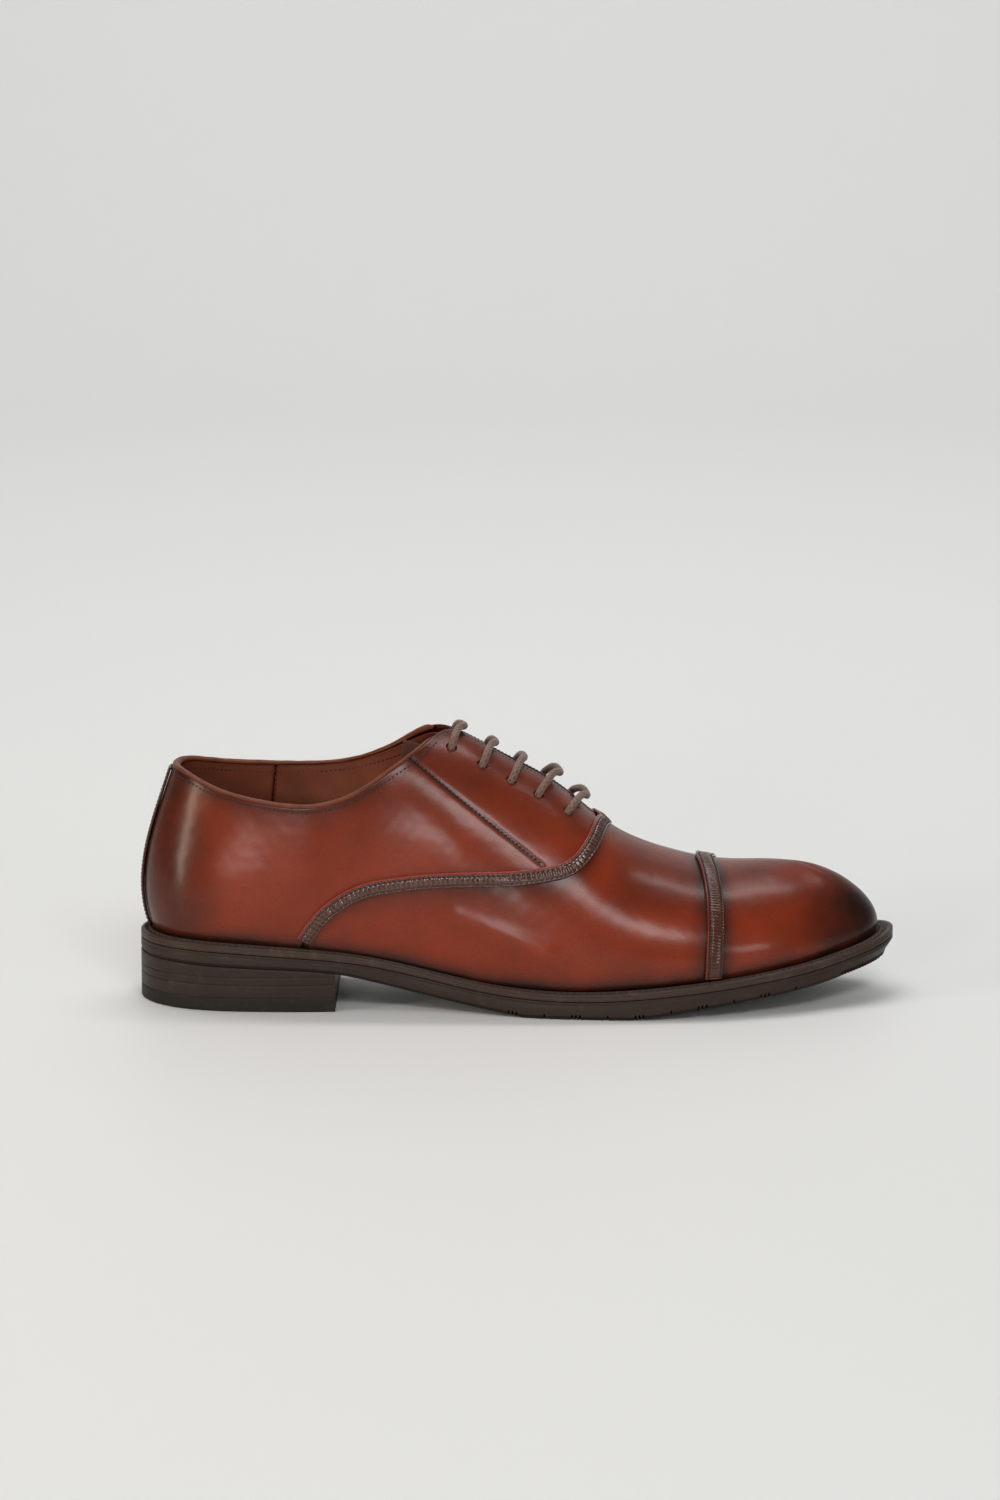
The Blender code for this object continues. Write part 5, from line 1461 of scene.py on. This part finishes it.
def smooth_path(points, spacing):
    """Evenly spaced points on a smooth curve through the route's points."""
    points = np.array(points)
    s = length_along(points)
    curves = [natural_spline(list(zip(s, column))) for column in points.T]
    at = np.linspace(0, s[-1], int(round(s[-1] / spacing)) + 1)
    return np.stack([c(at) for c in curves], 1)


def lace_route():
    route = tail_points(1, 0)[::-1][:-1]
    side = 1
    for row in range(len(EYELET_X)):
        route += bar_points(row, side)
        side = -side
        if row < len(EYELET_X) - 1:
            (w0, t0), (w1, t1) = EYELETS[side][row], EYELETS[side][row + 1]
            route.append(skin((w0 + w1) / 2, (t0 + t1) / 2, LACE_INNER_DEPTH - 0.3))
    return route + tail_points(side, len(EYELET_X) - 1)[1:]


def turning_frame(path):
    """Two directions square to a path that turn with it and don't twist about it."""
    along = unit(np.gradient(path, axis=0))
    side = np.cross(along[0], [0.3, 0.5, 0.8])
    sides = []
    for direction in along:
        side = unit(side - (side @ direction) * direction)
        sides.append(side)
    return np.array(sides), np.cross(along, sides)


def build_lace():
    """A round braid: two families of strands that cross on the surface."""
    path = smooth_path(lace_route(), 0.32)
    side, up = turning_frame(path)
    angle = np.linspace(0, 2 * math.pi, 17)[:-1]
    turn = length_along(path)[:, None] * 2 * math.pi / 9.0
    right = np.cos(4 * (angle[None, :] + turn))
    left = np.cos(4 * (angle[None, :] - turn))
    braid = np.maximum(right, left)
    radius = LACE_R * (1 + 0.02 * ripple(path, 9.0, 91))[:, None] + 0.11 * braid - 0.03
    loops = round_loops(path, radius, side, up, angle)
    # painted shade in the crevices between the strands
    tone = np.clip(0.5 - 0.6 * braid, 0, 1)
    faces = tube_faces(*loops.shape[:2])
    make_piece("lace", loops, faces, tone, LACE, ["lace"], crease=80)


def lace_material():
    """Waxed braid with pale flecks of yarn, and painted shade in the crevices between its strands."""
    n = Nodes("waxed_braid")
    where = n.place(False)
    yarn = n.noise(where, 0.22, 2.0)
    flecks = n.ramp(n.noise(where, 0.45, 1.0), 0.56, 0.70)
    tone = n.burnish_and_painted_shade()
    # the dark colour is painted shade, laid into the braid's crevices by the stored tone
    body = n.mix(tone, (0.185, 0.088, 0.054), (0.045, 0.021, 0.014))
    n.join(n.mix(n.math("MULTIPLY", flecks, 0.55), body, (0.28, 0.18, 0.13)), n.shader.inputs["Base Color"])
    n.join(n.bump(yarn, 0.09), n.shader.inputs["Normal"])
    n.join(n.math("ADD", n.math("MULTIPLY", yarn, 0.2), 0.45), n.shader.inputs["Roughness"])
    socket(n.shader, "Sheen Weight", 0.25)
    socket(n.shader, "Sheen Roughness", 0.5)
    return n.material


def aglet_material():
    n = Nodes("aglet_film")
    where = n.place(True)
    rings = n.noise(where, 0.9, 1.0, stretch=(1, 0.3, 0.3))
    n.join(n.mix(rings, (0.12, 0.07, 0.05), (0.07, 0.04, 0.03)), n.shader.inputs["Base Color"])
    n.join(n.bump(rings, 0.05), n.shader.inputs["Normal"])
    n.join(n.math("ADD", n.math("MULTIPLY", rings, 0.2), 0.25), n.shader.inputs["Roughness"])
    return n.material


LACE = lace_material()
AGLET = aglet_material()


# ---------------------------------------------------------------- CAD nodes that stay

def repaint(node, finish):
    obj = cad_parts[node]
    obj.data.materials.clear()
    obj.data.materials.append(finish)


def repaint_hidden_parts():
    for i in range(1, 5):
        repaint(f"heel_nail_{i}", STEEL)
    for i in range(1, 6):
        repaint(f"eyelet_lateral_{i}", BRASS)
        repaint(f"eyelet_medial_{i}", BRASS)
    for node, finish in (("shank", STEEL), ("heel_seat_filler", SEAT), ("heel_counter", COUNTER),
                         ("toe_puff", STIFFENER), ("facing_stay_lateral", STIFFENER),
                         ("facing_stay_medial", STIFFENER), ("aglet_1", AGLET), ("aglet_2", AGLET)):
        repaint(node, finish)


# ---------------------------------------------------------------- floor, light and camera

AIM = Vector((-0.007, 0.0, 0.100))
CAMERA_FAR, CAMERA_PITCH, CAMERA_LENS = 2.2, 10.9, 131.05


def build_stage():
    """A pale sweep: a floor that curves up into a wall behind, drawn as one sheet."""
    radius, front, back, height = 1.2, -4.0, 3.0, 4.5
    profile = [(front, 0.0), (back - radius, 0.0)]
    for step in range(1, 17):
        a = math.pi / 2 * step / 16
        profile.append((back - radius + radius * math.sin(a), radius * (1 - math.cos(a))))
    profile.append((back, height))
    mesh = bpy.data.meshes.new("floor")
    wide = 5.0
    points = [(x, y, z - 0.0002) for x in (-wide, wide) for y, z in profile]
    n = len(profile)
    mesh.from_pydata(points, [], [(i, n + i, n + i + 1, i + 1) for i in range(n - 1)])
    mesh.shade_smooth()
    floor = bpy.data.objects.new("floor", mesh)
    bpy.context.scene.collection.objects.link(floor)
    plain = Nodes("pale_floor")
    plain.shader.inputs["Base Color"].default_value = (0.80, 0.80, 0.785, 1)
    plain.shader.inputs["Roughness"].default_value = 0.55
    mesh.materials.append(plain.material)


def area_light(name, place, aim, size, power, colour=(1, 1, 1)):
    data = bpy.data.lights.new(name, "AREA")
    data.shape = "RECTANGLE"
    data.size, data.size_y = size
    data.energy = power
    data.color = colour
    light = bpy.data.objects.new(name, data)
    light.location = place
    light.rotation_euler = (Vector(aim) - Vector(place)).to_track_quat("-Z", "Y").to_euler()
    bpy.context.scene.collection.objects.link(light)


def build_lights():
    area_light("overhead_softbox", (-0.1, 0.05, 1.5), (0, 0, 0.05), (1.8, 0.6), 7.0)
    area_light("front_softbox", (0.39, -1.84, 1.42), (0, 0, 0.05), (0.80, 0.55), 16.5)
    area_light("low_left_softbox", (-0.69, -2.14, 0.48), (0, 0, 0.05), (0.42, 0.26), 6.5)
    area_light("low_right_strip", (1.38, -1.65, 0.50), (0, 0, 0.05), (0.26, 0.30), 3.0)
    area_light("heel_strip", (-1.3, -0.7, 0.42), (-0.1, 0, 0.06), (0.18, 0.7), 5.5, (1.0, 0.90, 0.70))
    area_light("backdrop_light", (0, 0.8, 2.8), (0, 3.0, 0.9), (3.0, 0.8), 56)
    world = bpy.data.worlds.new("studio")
    bpy.context.scene.world = world
    world.use_nodes = True
    world.node_tree.nodes["Background"].inputs["Color"].default_value = (0.95, 0.97, 1.0, 1)
    world.node_tree.nodes["Background"].inputs["Strength"].default_value = 0.12


def build_camera():
    data = bpy.data.cameras.new("camera")
    data.lens = CAMERA_LENS
    data.sensor_width = 36.0
    data.clip_start, data.clip_end = 0.1, 50
    camera = bpy.data.objects.new("camera", data)
    pitch = math.radians(CAMERA_PITCH)
    camera.location = AIM + CAMERA_FAR * Vector((0, -math.cos(pitch), math.sin(pitch)))
    camera.rotation_euler = (math.pi / 2 - pitch, 0, 0)
    bpy.context.scene.collection.objects.link(camera)
    bpy.context.scene.camera = camera
    bpy.context.scene.view_settings.view_transform = "Standard"


build_camera()
build_stage()
build_lights()
build_outsole()
build_heel()
build_inner_soles()
build_welt()
build_strips()
build_quarters()
build_vamp("vamp", UPPER_DEPTH, UPPER_THICK, UPPER, PITCH, 0.04)
build_toe_cap()
build_back_strip()
build_binding()
build_linings()
build_vamp_lining()
build_tongue()
build_lace()
repaint_hidden_parts()
